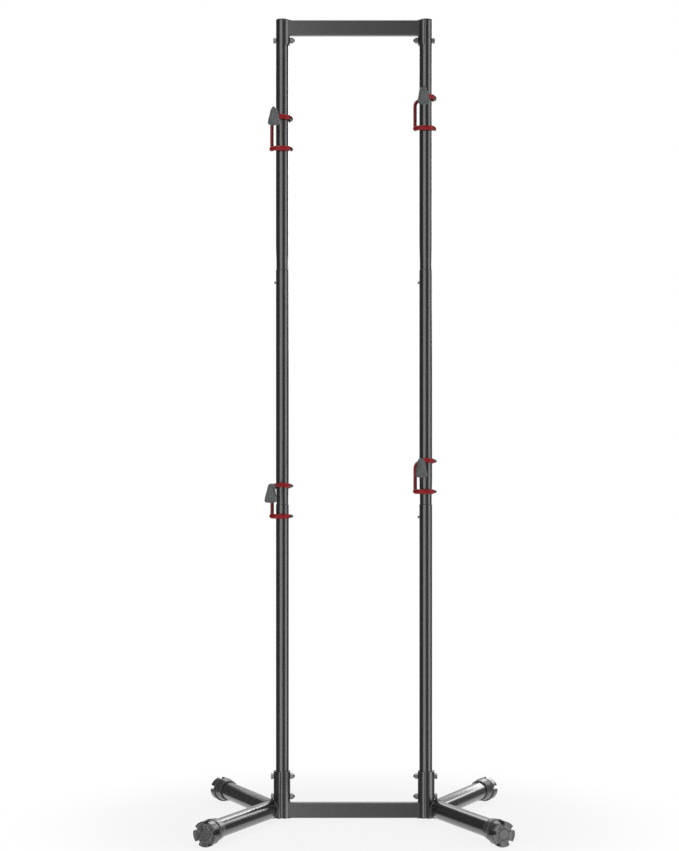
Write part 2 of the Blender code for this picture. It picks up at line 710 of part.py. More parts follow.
def make_fasteners(side, outward, holes, sections, steel):
    """The bolts and nuts of one post, and their holes through it. The top bolt's head is on the post itself."""
    x = outward * POST_X
    for place, height in BOLT_HEIGHTS.items():
        section, head_seat = ("upper", POST_RADIUS) if place == "top" else ("lower", OUTER_SADDLE_RADIUS)
        combine(sections[section], holes[place])
        make_bolt(f"{side}_{place}_bolt", x, outward, height, head_seat, INNER_SADDLE_RADIUS, steel)
        make_nut(f"{side}_{place}_nut", x, outward, height, INNER_SADDLE_RADIUS, steel)


def cradle_section(width, thickness):
    """A flat oval outline for swept(): width sideways, thickness outward."""
    outline = []
    for side in range(CRADLE_SIDES):
        angle = math.tau * side / CRADLE_SIDES
        across, out = math.cos(angle), math.sin(angle)
        outline.append(
            (
                width / 2 * math.copysign(abs(across) ** 0.8, across),
                thickness / 2 * math.copysign(abs(out) ** 0.6, out),
            )
        )
    return outline


def cradle_shape(points):
    """A moulded cradle: a broad U-shaped pad that narrows to its tip and to its tail round the rod."""
    tip = points[0] + (points[0] - points[1]).normalized() * CRADLE_TIP_COVER
    edge = points[0] + (tip - points[0]) * 0.6
    line = [tip, edge] + points
    distances = [0.0]
    for before, after in zip(line, line[1:]):
        distances.append(distances[-1] + (after - before).length)
    broadest = CRADLE_TIP_HEIGHT + CRADLE_RADIUS * math.pi / 2

    def section(index):
        if index == 0:
            return cradle_section(CRADLE_TIP_WIDTH * 0.7, CRADLE_THICKNESS * 0.6)
        if distances[index] < broadest:
            narrow, share = CRADLE_TIP_WIDTH, distances[index] / broadest
        else:
            narrow, share = CRADLE_TAIL_WIDTH, (distances[-1] - distances[index]) / (distances[-1] - broadest)
        swell = math.sin(math.pi / 2 * share) ** CRADLE_SWELL
        return cradle_section(narrow + (CRADLE_SEAT_WIDTH - narrow) * swell, CRADLE_THICKNESS)

    return swept(line, section, (1, 0, 0))


def make_arm(name, outward, height, swivel, paints):
    """An arm on its post: the rod, its cradle and its three sleeves, hung from one pivot on the post's axis."""
    arm = f"{name}_arm"
    pivot = add_pivot(f"{arm}_pivot", (outward * POST_X, 0, height), Matrix.Rotation(swivel, 3, "Z"))
    rod, spans = lay_out_arm()
    solid = round_section(ROD_RADIUS, ROD_SIDES)
    add_object(arm, swept(rod.points, lambda index: solid, (1, 0, 0)), paints["arm"], pivot)

    start, end = spans["cradle"]
    cradle = add_object(f"{arm}_cradle", cradle_shape(rod.points[start : end + 1]), paints["cradle"], pivot)
    bore = round_section(SLEEVE_BORE, ROD_SIDES)
    path = [point.copy() for point in rod.points[start : end + 2]]
    path[0] += (path[0] - path[1]).normalized() * CLEARANCE
    combine(cradle, add_helper(f"{arm}_cradle_bore", swept(path, lambda index: bore, (1, 0, 0)), parent=pivot))

    for part in ("front_sleeve", "rear_sleeve", "lower_sleeve"):
        sleeve = sleeve_shape(rod.points, *spans[part])
        add_object(f"{arm}_{part}", sleeve, paints["sleeve"], pivot)


def sleeve_shape(points, start, end):
    """A close sleeve over one stretch of the rod, open at both ends."""
    covered = swept(points, lambda index: round_section(SLEEVE_RADIUS, ROD_SIDES), (1, 0, 0))
    bored = swept(points, lambda index: round_section(SLEEVE_BORE, ROD_SIDES), (1, 0, 0))
    shape = bmesh.new()
    rings = []
    for tube in (covered, bored):
        tube.verts.ensure_lookup_table()
        rings.append(
            [
                [shape.verts.new(tube.verts[index * ROD_SIDES + side].co) for side in range(ROD_SIDES)]
                for index in range(start, end + 1)
            ]
        )
        tube.free()
    outer, inner = rings
    loops = outer + inner[::-1]
    for ring, following in zip(loops, loops[1:] + loops[:1]):
        for side in range(ROD_SIDES):
            beside = (side + 1) % ROD_SIDES
            shape.faces.new((ring[side], ring[beside], following[beside], following[side]))
    return shape


def build():
    for item in list(bpy.data.objects):
        bpy.data.objects.remove(item)
    frame_paint = make_material("black_powder_coat", srgb(62, 62, 63), 0.38)
    plastic = make_material("black_plastic", srgb(58, 58, 60), 0.5)
    steel = make_material("zinc_steel", srgb(172, 174, 176), 0.35, 1.0)
    paints = {
        "arm": make_material("red_paint", srgb(150, 16, 26), 0.35),
        "sleeve": make_material("red_vinyl", srgb(176, 26, 36), 0.45),
        "cradle": make_material("grey_rubber", srgb(107, 112, 115), 0.7),
    }

    sides = (("left", -1), ("right", 1))
    holes = {side: make_bolt_holes(side, outward * POST_X) for side, outward in sides}
    seats = {side: make_seat(side, outward * POST_X, holes[side]) for side, outward in sides}
    make_crossbar("lower_crossbar", LOWER_CROSSBAR_BASE, POST_FOOT, SADDLE_TOP, seats, frame_paint)
    upper_saddle_base = UPPER_CROSSBAR_TOP - UPPER_SADDLE_HEIGHT
    make_crossbar("upper_crossbar", UPPER_CROSSBAR_BASE, upper_saddle_base, UPPER_CROSSBAR_TOP, seats, frame_paint)
    for side, outward in sides:
        x = outward * POST_X
        sections = make_post(side, x, frame_paint, steel)
        make_plug(side, x, plastic)
        make_leg_frame(side, outward, seats[side], frame_paint)
        make_fasteners(side, outward, holes[side], sections, steel)
        for end, back in (("front", -1), ("rear", 1)):
            make_cap(f"{end}_{side}_cap", outward, back, plastic)
    make_arm("upper_left", -1, RACK_HEIGHT - UPPER_LEFT_ARM_BELOW_TOP, 0.0, paints)
    make_arm("upper_right", 1, RACK_HEIGHT - UPPER_RIGHT_ARM_BELOW_TOP, UPPER_RIGHT_SWIVEL, paints)
    make_arm("lower_left", -1, LOWER_LEFT_ARM_HEIGHT, LOWER_LEFT_SWIVEL, paints)
    make_arm("lower_right", 1, LOWER_RIGHT_ARM_HEIGHT, 0.0, paints)


build()
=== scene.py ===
"""The looks of a two-bike gravity rack: each piece that shows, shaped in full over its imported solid, with
its material, a plain pale studio and the camera.

Metres, +Z up, +X to the right, the viewer at -Y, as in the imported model.
"""

from math import acos, asin, atan2, copysign, cos, hypot, pi, radians, sin, sqrt, tan, tau

import bmesh
import bpy
from mathutils import Matrix, Vector


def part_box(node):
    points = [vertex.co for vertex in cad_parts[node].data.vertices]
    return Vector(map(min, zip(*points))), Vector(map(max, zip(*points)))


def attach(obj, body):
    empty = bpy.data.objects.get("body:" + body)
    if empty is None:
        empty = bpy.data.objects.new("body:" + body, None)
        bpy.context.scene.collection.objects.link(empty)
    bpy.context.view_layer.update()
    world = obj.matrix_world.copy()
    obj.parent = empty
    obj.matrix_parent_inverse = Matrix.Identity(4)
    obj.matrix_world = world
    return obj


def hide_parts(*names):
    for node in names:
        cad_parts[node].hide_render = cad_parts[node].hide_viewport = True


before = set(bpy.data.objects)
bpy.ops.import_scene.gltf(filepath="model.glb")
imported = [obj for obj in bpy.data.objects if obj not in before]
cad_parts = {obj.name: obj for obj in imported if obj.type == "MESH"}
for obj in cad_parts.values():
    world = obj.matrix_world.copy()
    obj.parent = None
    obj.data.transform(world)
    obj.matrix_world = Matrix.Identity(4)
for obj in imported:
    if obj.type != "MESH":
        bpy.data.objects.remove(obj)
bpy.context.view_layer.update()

# Camera: level, in front of the rack, aimed a little to the left of its middle
PICTURE_HEIGHT = 851
CAMERA_DISTANCE = 5.2
CAMERA_HEIGHT = 0.988
LENS = 88.34
SENSOR_WIDTH = 36.0
SHIFT_PIXELS = -14.6

# Light panels: bearings are from straight in front of the rack, toward its right
LEFT_STRIP_FIRST = radians(-47)
LEFT_STRIP_LAST = radians(-6)
LEFT_STRIP_GLOW = 1.95
RIGHT_STRIP_FIRST = radians(50)
RIGHT_STRIP_LAST = radians(89)
RIGHT_STRIP_GLOW = 2.1
PANEL_DISTANCE = 4.0
PANEL_HEIGHT = 6.0
TOP_PANEL_PLACE = (0, 0.6, 3.6)
TOP_PANEL_WIDTH = 2.4
TOP_PANEL_DEPTH = 1.2
TOP_PANEL_GLOW = 3.0
FILL_STRENGTH = 0.015
WHITE = (1, 1, 1, 1)

# Walls and cards that only reflections see, and the floor
WALL_RADIUS = 6.5
WALL_BASE = -1.8
WALL_TOP = 8.0
DARK_WALL_FIRST = radians(-160)
DARK_WALL_LAST = radians(136)
DARK_WALL_GLOW = 0.12
GREY_WALL_GLOW = 0.7
GREY_CARD_GLOW = 0.9
FRONT_CARD_RADIUS = 6.0
FRONT_CARD_SWEEP = radians(5)
FRONT_CARD_GLOW = 0.65
BACK_CARD_RADIUS = 6.0
SIDE_CARD_FIRST = radians(133)
SIDE_CARD_BASE = 1.5
SIDE_CARD_TOP = 3.05
SIDE_CARD_GLOW = 4.6
BRIGHT_CARD_FIRST = radians(152)
BRIGHT_CARD_BASE = 1.9
BRIGHT_CARD_TOP = 4.5
BRIGHT_CARD_GLOW = 5.5
PALE_CARD_FIRST = radians(168)
PALE_CARD_LAST = radians(200)
PALE_CARD_BASE = 2.85
PALE_CARD_TOP = 4.5
PALE_CARD_GLOW = 2.8
FLOOR_REACH = 30.0
FLOOR_COLOUR = (0.97, 0.97, 0.97, 1)
FLOOR_ROUGHNESS = 0.9
FLOOR_SPECULAR = 0.1
FLOOR_FADE_START = 0.4
FLOOR_FADE_END = 0.9
FLOOR_LEAST_WHITE = 0.85

# Clearance between pieces that touch, and fineness of the meshes
CLEARANCE = 0.0003
TINY = 1e-6
MERGE_REACH = 1e-5
ROUND_SIDES = 72
HEAD_SIDES = 48
HOLE_SIDES = 32
VENT_SIDES = 24
ROD_SIDES = 24
STEP_PARTS = 4
EASE_STEPS = 4
CORNER_STEPS = 5
WALL_STEPS = 48
SHARP_ANGLE = radians(35)

# Noise in the materials: its fineness, the part of its range that is used, and its stretch
NOISE_DETAIL = 3.0
ROUGHNESS_DETAIL = 4.0
NOISE_LOW = 0.3
NOISE_HIGH = 0.7
EVEN = (1, 1, 1)

# Places of the colours among a mix node's sockets
MIX_FIRST = 6
MIX_SECOND = 7
MIX_RESULT = 2

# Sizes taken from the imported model
POST_LOW, POST_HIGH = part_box("right_post_lower")
POST_X = (POST_LOW.x + POST_HIGH.x) / 2
POST_RADIUS = (POST_HIGH.x - POST_LOW.x) / 2
POST_FOOT = POST_LOW.z
LOWER_JOINT = POST_HIGH.z
UPPER_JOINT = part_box("right_post_middle")[1].z
POST_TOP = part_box("right_post_upper")[1].z
SPIGOT_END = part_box("right_post_middle")[0].z
SPIGOT_LENGTH = LOWER_JOINT - SPIGOT_END
RACK_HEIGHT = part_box("right_post_plug")[1].z
SADDLE_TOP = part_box("right_leg_frame")[1].z
UPPER_CROSSBAR_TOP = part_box("upper_crossbar")[1].z
UPPER_SADDLE_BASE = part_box("upper_crossbar")[0].z

# Posts
POST_WALL = 0.0015
NECK_RADIUS = 0.0149
NECK_LENGTH = 0.018
NECK_TAPER = 0.040
TUBE_EDGE = 0.0007
MOUTH_EDGE = 0.0011
PLUG_FLANGE = 0.003
PLUG_STEM = 0.020
PLUG_WALL = 0.002
PLUG_CROWN_SHARE = 0.85
PLUG_CROWN_DROP = 0.2
PLUG_CROWN_EASE = 0.0015
PLUG_RIM_DROP = 0.7
PLUG_RIM_EASE = 0.0006
PLUG_END_EASE = 0.0008

# Spring buttons
BUTTON_BELOW_JOINT = 0.032
BUTTON_RADIUS = 0.00325
BUTTON_PROUD = 0.0045
BUTTON_DOME_SHARE = 0.45
BUTTON_DOME_STEPS = 8
BUTTON_FLANGE_RADIUS = 0.00475
BUTTON_FLANGE = 0.0012
BUTTON_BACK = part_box("right_lower_joint_button")[1].x - POST_X

# Crossbars and saddles
CROSSBAR_HEIGHT = 0.038
CROSSBAR_DEPTH = 0.020
CROSSBAR_WALL = 0.0015
CROSSBAR_CORNER = 0.003
VENT_RADIUS = 0.0025
VENT_FROM_POST = 0.040
INNER_SADDLE_WALL = 0.0035
INNER_SADDLE_HALF_ANGLE = radians(78)
OUTER_SADDLE_WALL = 0.0055
OUTER_SADDLE_HALF_ANGLE = radians(76)
SADDLE_EDGE = 0.0008
SADDLE_SEAT_EDGE = 0.0002
SADDLE_STEPS = 40
SADDLE_END_SHARES = (0.3, 0.6, 0.85, 1.0)
SADDLE_END_SPARE = 1.5

# Legs
LEG_RADIUS = 0.0225
LEG_APEX_FROM_POST = 0.0265
LEG_REACH = 0.345
LEG_ANGLE = radians(65)

# Welds
BEAD_RADIUS = 0.0020
BEAD_RIPPLE = 0.00014
BEAD_PITCH = 0.0024
BEAD_SIDES = 14
BEAD_SHARP_ANGLE = radians(90)
STATIONS_PER_RIPPLE = 6

# Levelling caps
CAP_HEAD_RADIUS = 0.0305
CAP_OFFSET = 0.0025
CAP_HEAD_LENGTH = 0.025
CAP_EDGE = 0.002
CAP_NECK_RADIUS = 0.027
CAP_NECK_LENGTH = 0.006
CAP_COLLAR_RADIUS = 0.029
CAP_LIP_RADIUS = 0.026
CAP_COLLAR_LENGTH = 0.027
CAP_END_WALL = 0.002
CAP_CHANNELS = 5
CAP_CHANNEL_HALF_ANGLE = radians(8.1)
CAP_CHANNEL_FLARE = radians(1.5)
CAP_CHANNEL_DEPTH = 0.009
CAP_CHANNEL_STEPS = 12
CAP_CHANNEL_WALL_SHARES = (0.25, 0.5, 0.75, 0.95)
CAP_RIM_STEPS = 30
CAP_EDGE_STEPS = 5
CAP_MOUTH_EDGE = 0.0003
CAP_SHARP_ANGLE = radians(50)
LEFT_CAP_FIRST_CHANNEL = radians(12)
FACE_RING_RADIUS = 0.013
FACE_RING_HALF_WIDTH = 0.0011
FACE_RING_DEPTH = 0.0012
FACE_SPOKE_HALF_WIDTH = 0.001
FACE_SPOKE_DEPTH = 0.0008
FACE_PAD_CENTRE = 0.0215
FACE_PAD_LENGTH = 0.0085
FACE_PAD_WIDTH = 0.0045
FACE_PAD_DEPTH = 0.0005
FACE_PAD_STEEPNESS = 6
FACE_DIVISIONS = 44
FACE_RINGS = 29

# Fasteners
BOLT_RADIUS = 0.004
HEX_ACROSS_FLATS = 0.013
BOLT_HEAD = 0.0065
WASHER_FACE = 0.0005
WASHER_FACE_SHARE = 0.46
HEX_CROWN_SHARE = 0.95
HEX_CHAMFER = radians(30)
HEX_CHAMFER_SPARE = 1.2
HEX_SPARE = 0.001
HEX_CORNERS = 6
HEX_SHARP_ANGLE = radians(25)
NUT_HEIGHT = 0.008
NUT_COLLAR = 0.0022
NUT_COLLAR_RADIUS = 0.0058
NUT_COLLAR_EDGE = 0.0007
NUT_MOUTH = 0.0006
NUT_MOUTH_EDGE = 0.0002
NUT_MOUTH_DEPTH = 0.001
BOLT_END_PROUD = 0.003
THREAD_PITCH = 0.00125
THREAD_DEPTH = 0.0006
BOLT_TIP_INSET = THREAD_DEPTH * 1.5
LOWER_BOLT_ABOVE_LEG = 0.0095
UPPER_BOLT_BELOW_SADDLE_TOP = 0.0133
TOP_BOLT_BELOW_CROSSBAR = 0.0116

# Arms
ROD_RADIUS = 0.0045
SLEEVE_RADIUS = 0.00625
LOOP_SPACING = 0.072
LOOP_DROP = 0.005
UPPER_LOOP_SLACK = 0.0032
ARM_LEFT_OF_POST = 0.0156
RISER_LEFT_OF_POST = 0.0262
RISER_TOP_RADIUS = 0.018
RISER_FOOT_RADIUS = 0.010
REAR_TURN_RADIUS = 0.012
REAR_TURN = radians(45)
HOOK_SWEEP = radians(112.5)
TURN_STEP = radians(22.5)
TIGHT_TURN_RADIUS = 0.0205
TIGHT_TURN_STEP = radians(30)
ROD_END_EDGE = 0.001
ROD_END_STEPS = 4
# Where the painted shade on the rods starts, to the right of the post's axis
PAINTED_SHADE_START = 0.011
SLEEVE_LIP = 0.0009
SLEEVE_LIP_STEPS = 5
SLEEVE_WAVE = 0.00012
SLEEVE_QUICK_WAVE = 1.7
SLEEVE_SLOW_WAVE = 0.6

# Cradles
CRADLE_REACH = 0.153
CRADLE_RADIUS = 0.021
CRADLE_CENTRE_BELOW_ROD = 0.007
CRADLE_NECK_RADIUS = 0.010
CRADLE_TIP_HEIGHT = 0.015
CRADLE_TIP_COVER = 0.005
CRADLE_TAIL = 0.010
CRADLE_THICKNESS = 0.012
CRADLE_TIP_WIDTH = 0.0075
CRADLE_SEAT_WIDTH = 0.0285
CRADLE_TAIL_WIDTH = 0.012
CRADLE_SWELL = 1.2
CRADLE_SIDES = 40
CRADLE_EDGE_POWER = 0.8
CRADLE_FLAT_POWER = 0.6
CRADLE_TIP_STEPS = 6
CRADLE_LEAST_TIP = 0.12
CRADLE_RIB_PITCH = 0.006
CRADLE_RIB_DEPTH = 0.0006
CRADLE_RIB_POWER = 0.5

# Places of the arms' lower loops, from the rack's top and from the floor, and how far two are swivelled
UPPER_LEFT_ARM_BELOW_TOP = 0.324
UPPER_RIGHT_ARM_BELOW_TOP = 0.2735
LOWER_LEFT_ARM_HEIGHT = 0.7627
LOWER_RIGHT_ARM_HEIGHT = 0.8239
UPPER_RIGHT_SWIVEL = radians(2)
LOWER_LEFT_SWIVEL = radians(-3)

# Worked out from the sizes above
POST_BORE = POST_RADIUS - POST_WALL
SPIGOT_RADIUS = POST_BORE - CLEARANCE
SPIGOT_BORE = SPIGOT_RADIUS - POST_WALL
SEAT_RADIUS = POST_RADIUS + CLEARANCE
INNER_SADDLE_RADIUS = SEAT_RADIUS + INNER_SADDLE_WALL
OUTER_SADDLE_RADIUS = SEAT_RADIUS + OUTER_SADDLE_WALL
LEG_HEIGHT = CAP_HEAD_RADIUS + CAP_OFFSET
UPPER_CROSSBAR_BASE = UPPER_CROSSBAR_TOP - CROSSBAR_HEIGHT
BOLT_HEIGHTS = {
    "lower_base": LEG_HEIGHT + LEG_RADIUS + LOWER_BOLT_ABOVE_LEG,
    "upper_base": SADDLE_TOP - UPPER_BOLT_BELOW_SADDLE_TOP,
    "top": UPPER_CROSSBAR_BASE - TOP_BOLT_BELOW_CROSSBAR,
}
CAP_BORE = LEG_RADIUS + CLEARANCE
CAP_BORE_END = LEG_REACH - CAP_HEAD_LENGTH - CAP_END_WALL
LEG_TUBE_END = CAP_BORE_END - CLEARANCE
BOLT_HOLE = BOLT_RADIUS + CLEARANCE
BUTTON_HOLE = BUTTON_RADIUS + CLEARANCE
SLEEVE_BORE = ROD_RADIUS + CLEARANCE
LOOP_RADIUS = (SEAT_RADIUS + SLEEVE_RADIUS) / cos(TURN_STEP / 2)


# Shapes

def steps_between(first, last, count):
    """Values at even steps from the first to the last."""
    return [first + (last - first) * step / count for step in range(count + 1)]


def eased(corners):
    """An outline of (x, y, ease) corners, each rounded off from that far before it to that far after it."""
    points = []
    for index, (x, y, ease) in enumerate(corners):
        corner = Vector((x, y))
        if not ease:
            points.append(corner)
            continue
        before = Vector(corners[index - 1][:2])
        after = Vector(corners[(index + 1) % len(corners)][:2])
        start = corner + (before - corner).normalized() * ease
        end = corner + (after - corner).normalized() * ease
        for share in steps_between(0, 1, EASE_STEPS):
            points.append(start * (1 - share) ** 2 + corner * 2 * share * (1 - share) + end * share**2)
    return points


def arc(radius, first, last, steps, centre=(0.0, 0.0)):
    """Points along an arc, from one angle to another."""
    across, up = centre
    angles = steps_between(first, last, steps)
    return [Vector((across + radius * cos(angle), up + radius * sin(angle))) for angle in angles]


def circle(radius, sides=ROD_SIDES):
    return arc(radius, 0, tau, sides)[:-1]


def rounded_rectangle(width, height, corner):
    """Outline of a rectangle with round corners, centred on the origin."""
    points = []
    for quarter, (across, up) in enumerate(((1, 1), (-1, 1), (-1, -1), (1, -1))):
        centre = (across * (width / 2 - corner), up * (height / 2 - corner))
        first = quarter * pi / 2
        points += arc(corner, first, first + pi / 2, CORNER_STEPS, centre)
    return points


def lofted(rings, closed=False):
    """A skin over rings of points. It has a face at each end, or joins its last ring to its first."""
    shape = bmesh.new()
    loops = [[shape.verts.new(point) for point in ring] for ring in rings]
    pairs = list(zip(loops, loops[1:]))
    if closed:
        pairs.append((loops[-1], loops[0]))
    for ring, following in pairs:
        for corner in range(len(ring)):
            beside = (corner + 1) % len(ring)
            shape.faces.new((ring[corner], ring[beside], following[beside], following[corner]))
    if not closed:
        shape.faces.new(loops[0])
        shape.faces.new(loops[-1])
    return shape


def lathe(profile, sides=ROUND_SIDES):
    """(radius, height) points turned about Z. A profile that doesn't start on the axis makes a ring."""
    shape = bmesh.new()
    rings = []
    for radius, height in profile:
        if radius < TINY:
            rings.append([shape.verts.new((0, 0, height))] * sides)
        else:
            rings.append([shape.verts.new((x, y, height)) for x, y in circle(radius, sides)])
    pairs = list(zip(rings, rings[1:]))
    if profile[0][0] > TINY:
        pairs.append((rings[-1], rings[0]))
    for ring, following in pairs:
        for side in range(sides):
            beside = (side + 1) % sides
            corners = dict.fromkeys((ring[side], ring[beside], following[beside], following[side]))
            if len(corners) > 2:
                shape.faces.new(list(corners))
    return shape


def bar(radius, start, end, sides=ROUND_SIDES):
    """A plain round bar along Z, for cutting."""
    return lathe([(0, start), (radius, start), (radius, end), (0, end)], sides)


def prism(outline, start, end):
    """An outline of (x, y) points, extruded along Z."""
    return lofted([[(x, y, height) for x, y in outline] for height in (start, end)])


def moved(shape, matrix):
    bmesh.ops.transform(shape, matrix=matrix, verts=shape.verts)
    return shape


def meshed(name, shape):
    """A new mesh of a shape, which is used up."""
    mesh = bpy.data.meshes.new(name)
    shape.to_mesh(mesh)
    shape.free()
    return mesh


def placed(name, data):
    """A new object in the scene."""
    item = bpy.data.objects.new(name, data)
    bpy.context.scene.collection.objects.link(item)
    return item


def joined(shapes):
    """Several shapes in one, not fused where they touch. They are used up."""
    whole = bmesh.new()
    for shape in shapes:
        mesh = meshed("part", shape)
        whole.from_mesh(mesh)
        bpy.data.meshes.remove(mesh)
    return whole


def temporary(shape):
    bmesh.ops.recalc_face_normals(shape, faces=shape.faces)
    return placed("temporary", meshed("temporary", shape))


def carved(shape, *tools, operation="DIFFERENCE"):
    """A shape with others cut from it, or fused to it. All of them are used up."""
    base = temporary(shape)
    helpers = [temporary(tool) for tool in tools]
    for helper in helpers:
        modifier = base.modifiers.new("boolean", "BOOLEAN")
        modifier.operation = operation
        modifier.solver = "EXACT"
        modifier.object = helper
    result = bmesh.new()
    result.from_object(base, bpy.context.evaluated_depsgraph_get())
    for item in [base] + helpers:
        mesh = item.data
        bpy.data.objects.remove(item)
        bpy.data.meshes.remove(mesh)
    return result


def lengthways(x, height, outward=1):
    """Places a shape made along Z at a post, with its Z axis along X."""
    return Matrix.Translation((x, 0, height)) @ Matrix.Rotation(outward * pi / 2, 4, "Y")


def add_piece(name, shape, finish, body, *nodes, sharp=SHARP_ANGLE):
    """A finished piece that rides on a body and stands for the solids it replaces."""
    slot, material = FINISHES[finish]
    bmesh.ops.recalc_face_normals(shape, faces=shape.faces)
    mesh = meshed(name, shape)
    mesh.shade_smooth()
    mesh.set_sharp_from_angle(angle=sharp)
    mesh.materials.append(material)
    item = placed(name, mesh)
    normals = item.modifiers.new("normals", "WEIGHTED_NORMAL")
    normals.keep_sharp = True
    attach(item, body)
    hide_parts(*nodes)


# Routes: bent rods, sleeves and weld beads

class BentRod:
    """The centreline of a rod, laid out as a bender makes it. Each of its steps is drawn in finer parts."""

    def __init__(self, start, heading):
        self.points = [Vector(start)]
        self.heading = Vector(heading)

    def straight(self, length):
        start = self.points[-1]
        for part in range(1, STEP_PARTS + 1):
            self.points.append(start + self.heading * (length * part / STEP_PARTS))

    def bend(self, toward, radius, angle, fall=0.0):
        """Turn toward a direction square to the heading, falling evenly as it goes."""
        start = self.points[-1]
        toward = Vector(toward)
        step_angle = TIGHT_TURN_STEP if radius < TIGHT_TURN_RADIUS else TURN_STEP
        steps = STEP_PARTS * max(2, round(angle / step_angle))
        for step in range(1, steps + 1):
            turn = angle * step / steps
            across = toward * (radius * (1 - cos(turn)))
            along = self.heading * (radius * sin(turn))
            self.points.append(start + across + along - Vector((0, 0, fall * step / steps)))
        self.heading = self.heading * cos(angle) + toward * sin(angle)

    def here(self):
        return len(self.points) - 1


def lay_out_arm():
    """The arm's centreline about its post's axis, from the tip in the cradle to the end of the lower loop,
    with the height of the lower loop at 0. Returns its points and where each covering starts and ends."""
    front, back, right, down = Vector((0, -1, 0)), Vector((0, 1, 0)), Vector((1, 0, 0)), Vector((0, 0, -1))
    spans = {}
    quarter = pi / 2
    half_quarter = STEP_PARTS * round(quarter / TURN_STEP / 2)
    rise = CRADLE_CENTRE_BELOW_ROD - CRADLE_NECK_RADIUS
    neck_turn = acos(rise / (CRADLE_RADIUS + CRADLE_NECK_RADIUS))
    neck_run = (CRADLE_RADIUS + CRADLE_NECK_RADIUS) * sin(neck_turn)
    cradle_centre = LOOP_SPACING - CRADLE_CENTRE_BELOW_ROD
    front_strand = LOOP_RADIUS + UPPER_LOOP_SLACK
    tip_straight = CRADLE_TIP_HEIGHT - CRADLE_TIP_COVER

    rod = BentRod((-ARM_LEFT_OF_POST, -CRADLE_REACH - CRADLE_RADIUS, cradle_centre + tip_straight), down)
    rod.straight(tip_straight)
    rod.bend(back, CRADLE_RADIUS, quarter + neck_turn)
    neck_side = (0, sin(neck_turn), -cos(neck_turn))
    rod.bend(neck_side, CRADLE_NECK_RADIUS, neck_turn)
    rod.heading = back.copy()
    rod.straight(CRADLE_TAIL)
    spans["cradle"] = (0, rod.here())
    rod.straight(CRADLE_REACH - neck_run - CRADLE_TAIL - front_strand - ARM_LEFT_OF_POST)

    rod.bend(right, ARM_LEFT_OF_POST, quarter)
    front_middle = rod.here()
    rod.bend(back, LOOP_RADIUS, quarter, LOOP_DROP / 2)
    spans["front_sleeve"] = (front_middle - STEP_PARTS, front_middle + half_quarter)
    rod.straight(UPPER_LOOP_SLACK)
    right_middle = rod.here()
    rod.bend(-right, LOOP_RADIUS, quarter, LOOP_DROP / 2)
    turn_start = RISER_LEFT_OF_POST - REAR_TURN_RADIUS * sin(REAR_TURN)
    rod.straight(turn_start - RISER_TOP_RADIUS * cos(REAR_TURN))
    spans["rear_sleeve"] = (right_middle + half_quarter, rod.here())

    rod.bend(front, REAR_TURN_RADIUS, REAR_TURN)
    rod.bend(down, RISER_TOP_RADIUS, quarter)
    rod.straight(rod.points[-1].z - RISER_FOOT_RADIUS)
    rod.bend(front, RISER_FOOT_RADIUS, quarter)

    side_turn = LOOP_RADIUS + rod.points[-1].y
    lower_start = rod.here()
    rod.bend(right, side_turn, quarter)
    rod.straight(RISER_LEFT_OF_POST - side_turn)
    lower_middle = rod.here()
    rod.bend(back, LOOP_RADIUS, HOOK_SWEEP)
    spans["lower_sleeve"] = (lower_start, lower_middle + half_quarter)
    return rod.points, spans


class Route:
    """A line through points, with a sideways and an outward direction carried along it without twisting."""

    def __init__(self, points, first_normal, closed=False):
        self.points = points
        following = points[1:] + points[:1] if closed else points[1:]
        steps = [(after - before).normalized() for before, after in zip(points, following)]
        if closed:
            before_steps = steps[-1:] + steps[:-1]
            self.tangents = [(one + two).normalized() for one, two in zip(before_steps, steps)]
        else:
            middles = [(one + two).normalized() for one, two in zip(steps, steps[1:])]
            self.tangents = [steps[0]] + middles + [steps[-1]]
        self.normals = []
        normal = Vector(first_normal)
        for index, tangent in enumerate(self.tangents):
            if index:
                normal = self.tangents[index - 1].rotation_difference(tangent) @ normal
            normal = (normal - tangent * normal.dot(tangent)).normalized()
            self.normals.append(normal)
        self.distances = [0.0]
        for before, after in zip(points, points[1:]):
            self.distances.append(self.distances[-1] + (after - before).length)

    def ring(self, index, outline, shift=0.0):
        """A ring of (sideways, outward) points round one of the line's points, moved along by a shift."""
        tangent, normal = self.tangents[index], self.normals[index]
        centre = self.points[index] + tangent * shift
        outward = tangent.cross(normal)
        return [centre + normal * x + outward * y for x, y in outline]


def rod_shape(points):
    """A round rod with eased ends."""
    route = Route(points, (1, 0, 0))
    last = len(points) - 1
    ends = []
    for angle in steps_between(0, pi / 2, ROD_END_STEPS):
        ends.append((ROD_END_EDGE * (1 - cos(angle)), ROD_RADIUS - ROD_END_EDGE * (1 - sin(angle))))
    skin = [route.ring(0, circle(radius), shift) for shift, radius in ends]
    skin += [route.ring(index, circle(ROD_RADIUS)) for index in range(1, last)]
    skin += [route.ring(last, circle(radius), -shift) for shift, radius in reversed(ends)]
    return lofted(skin)


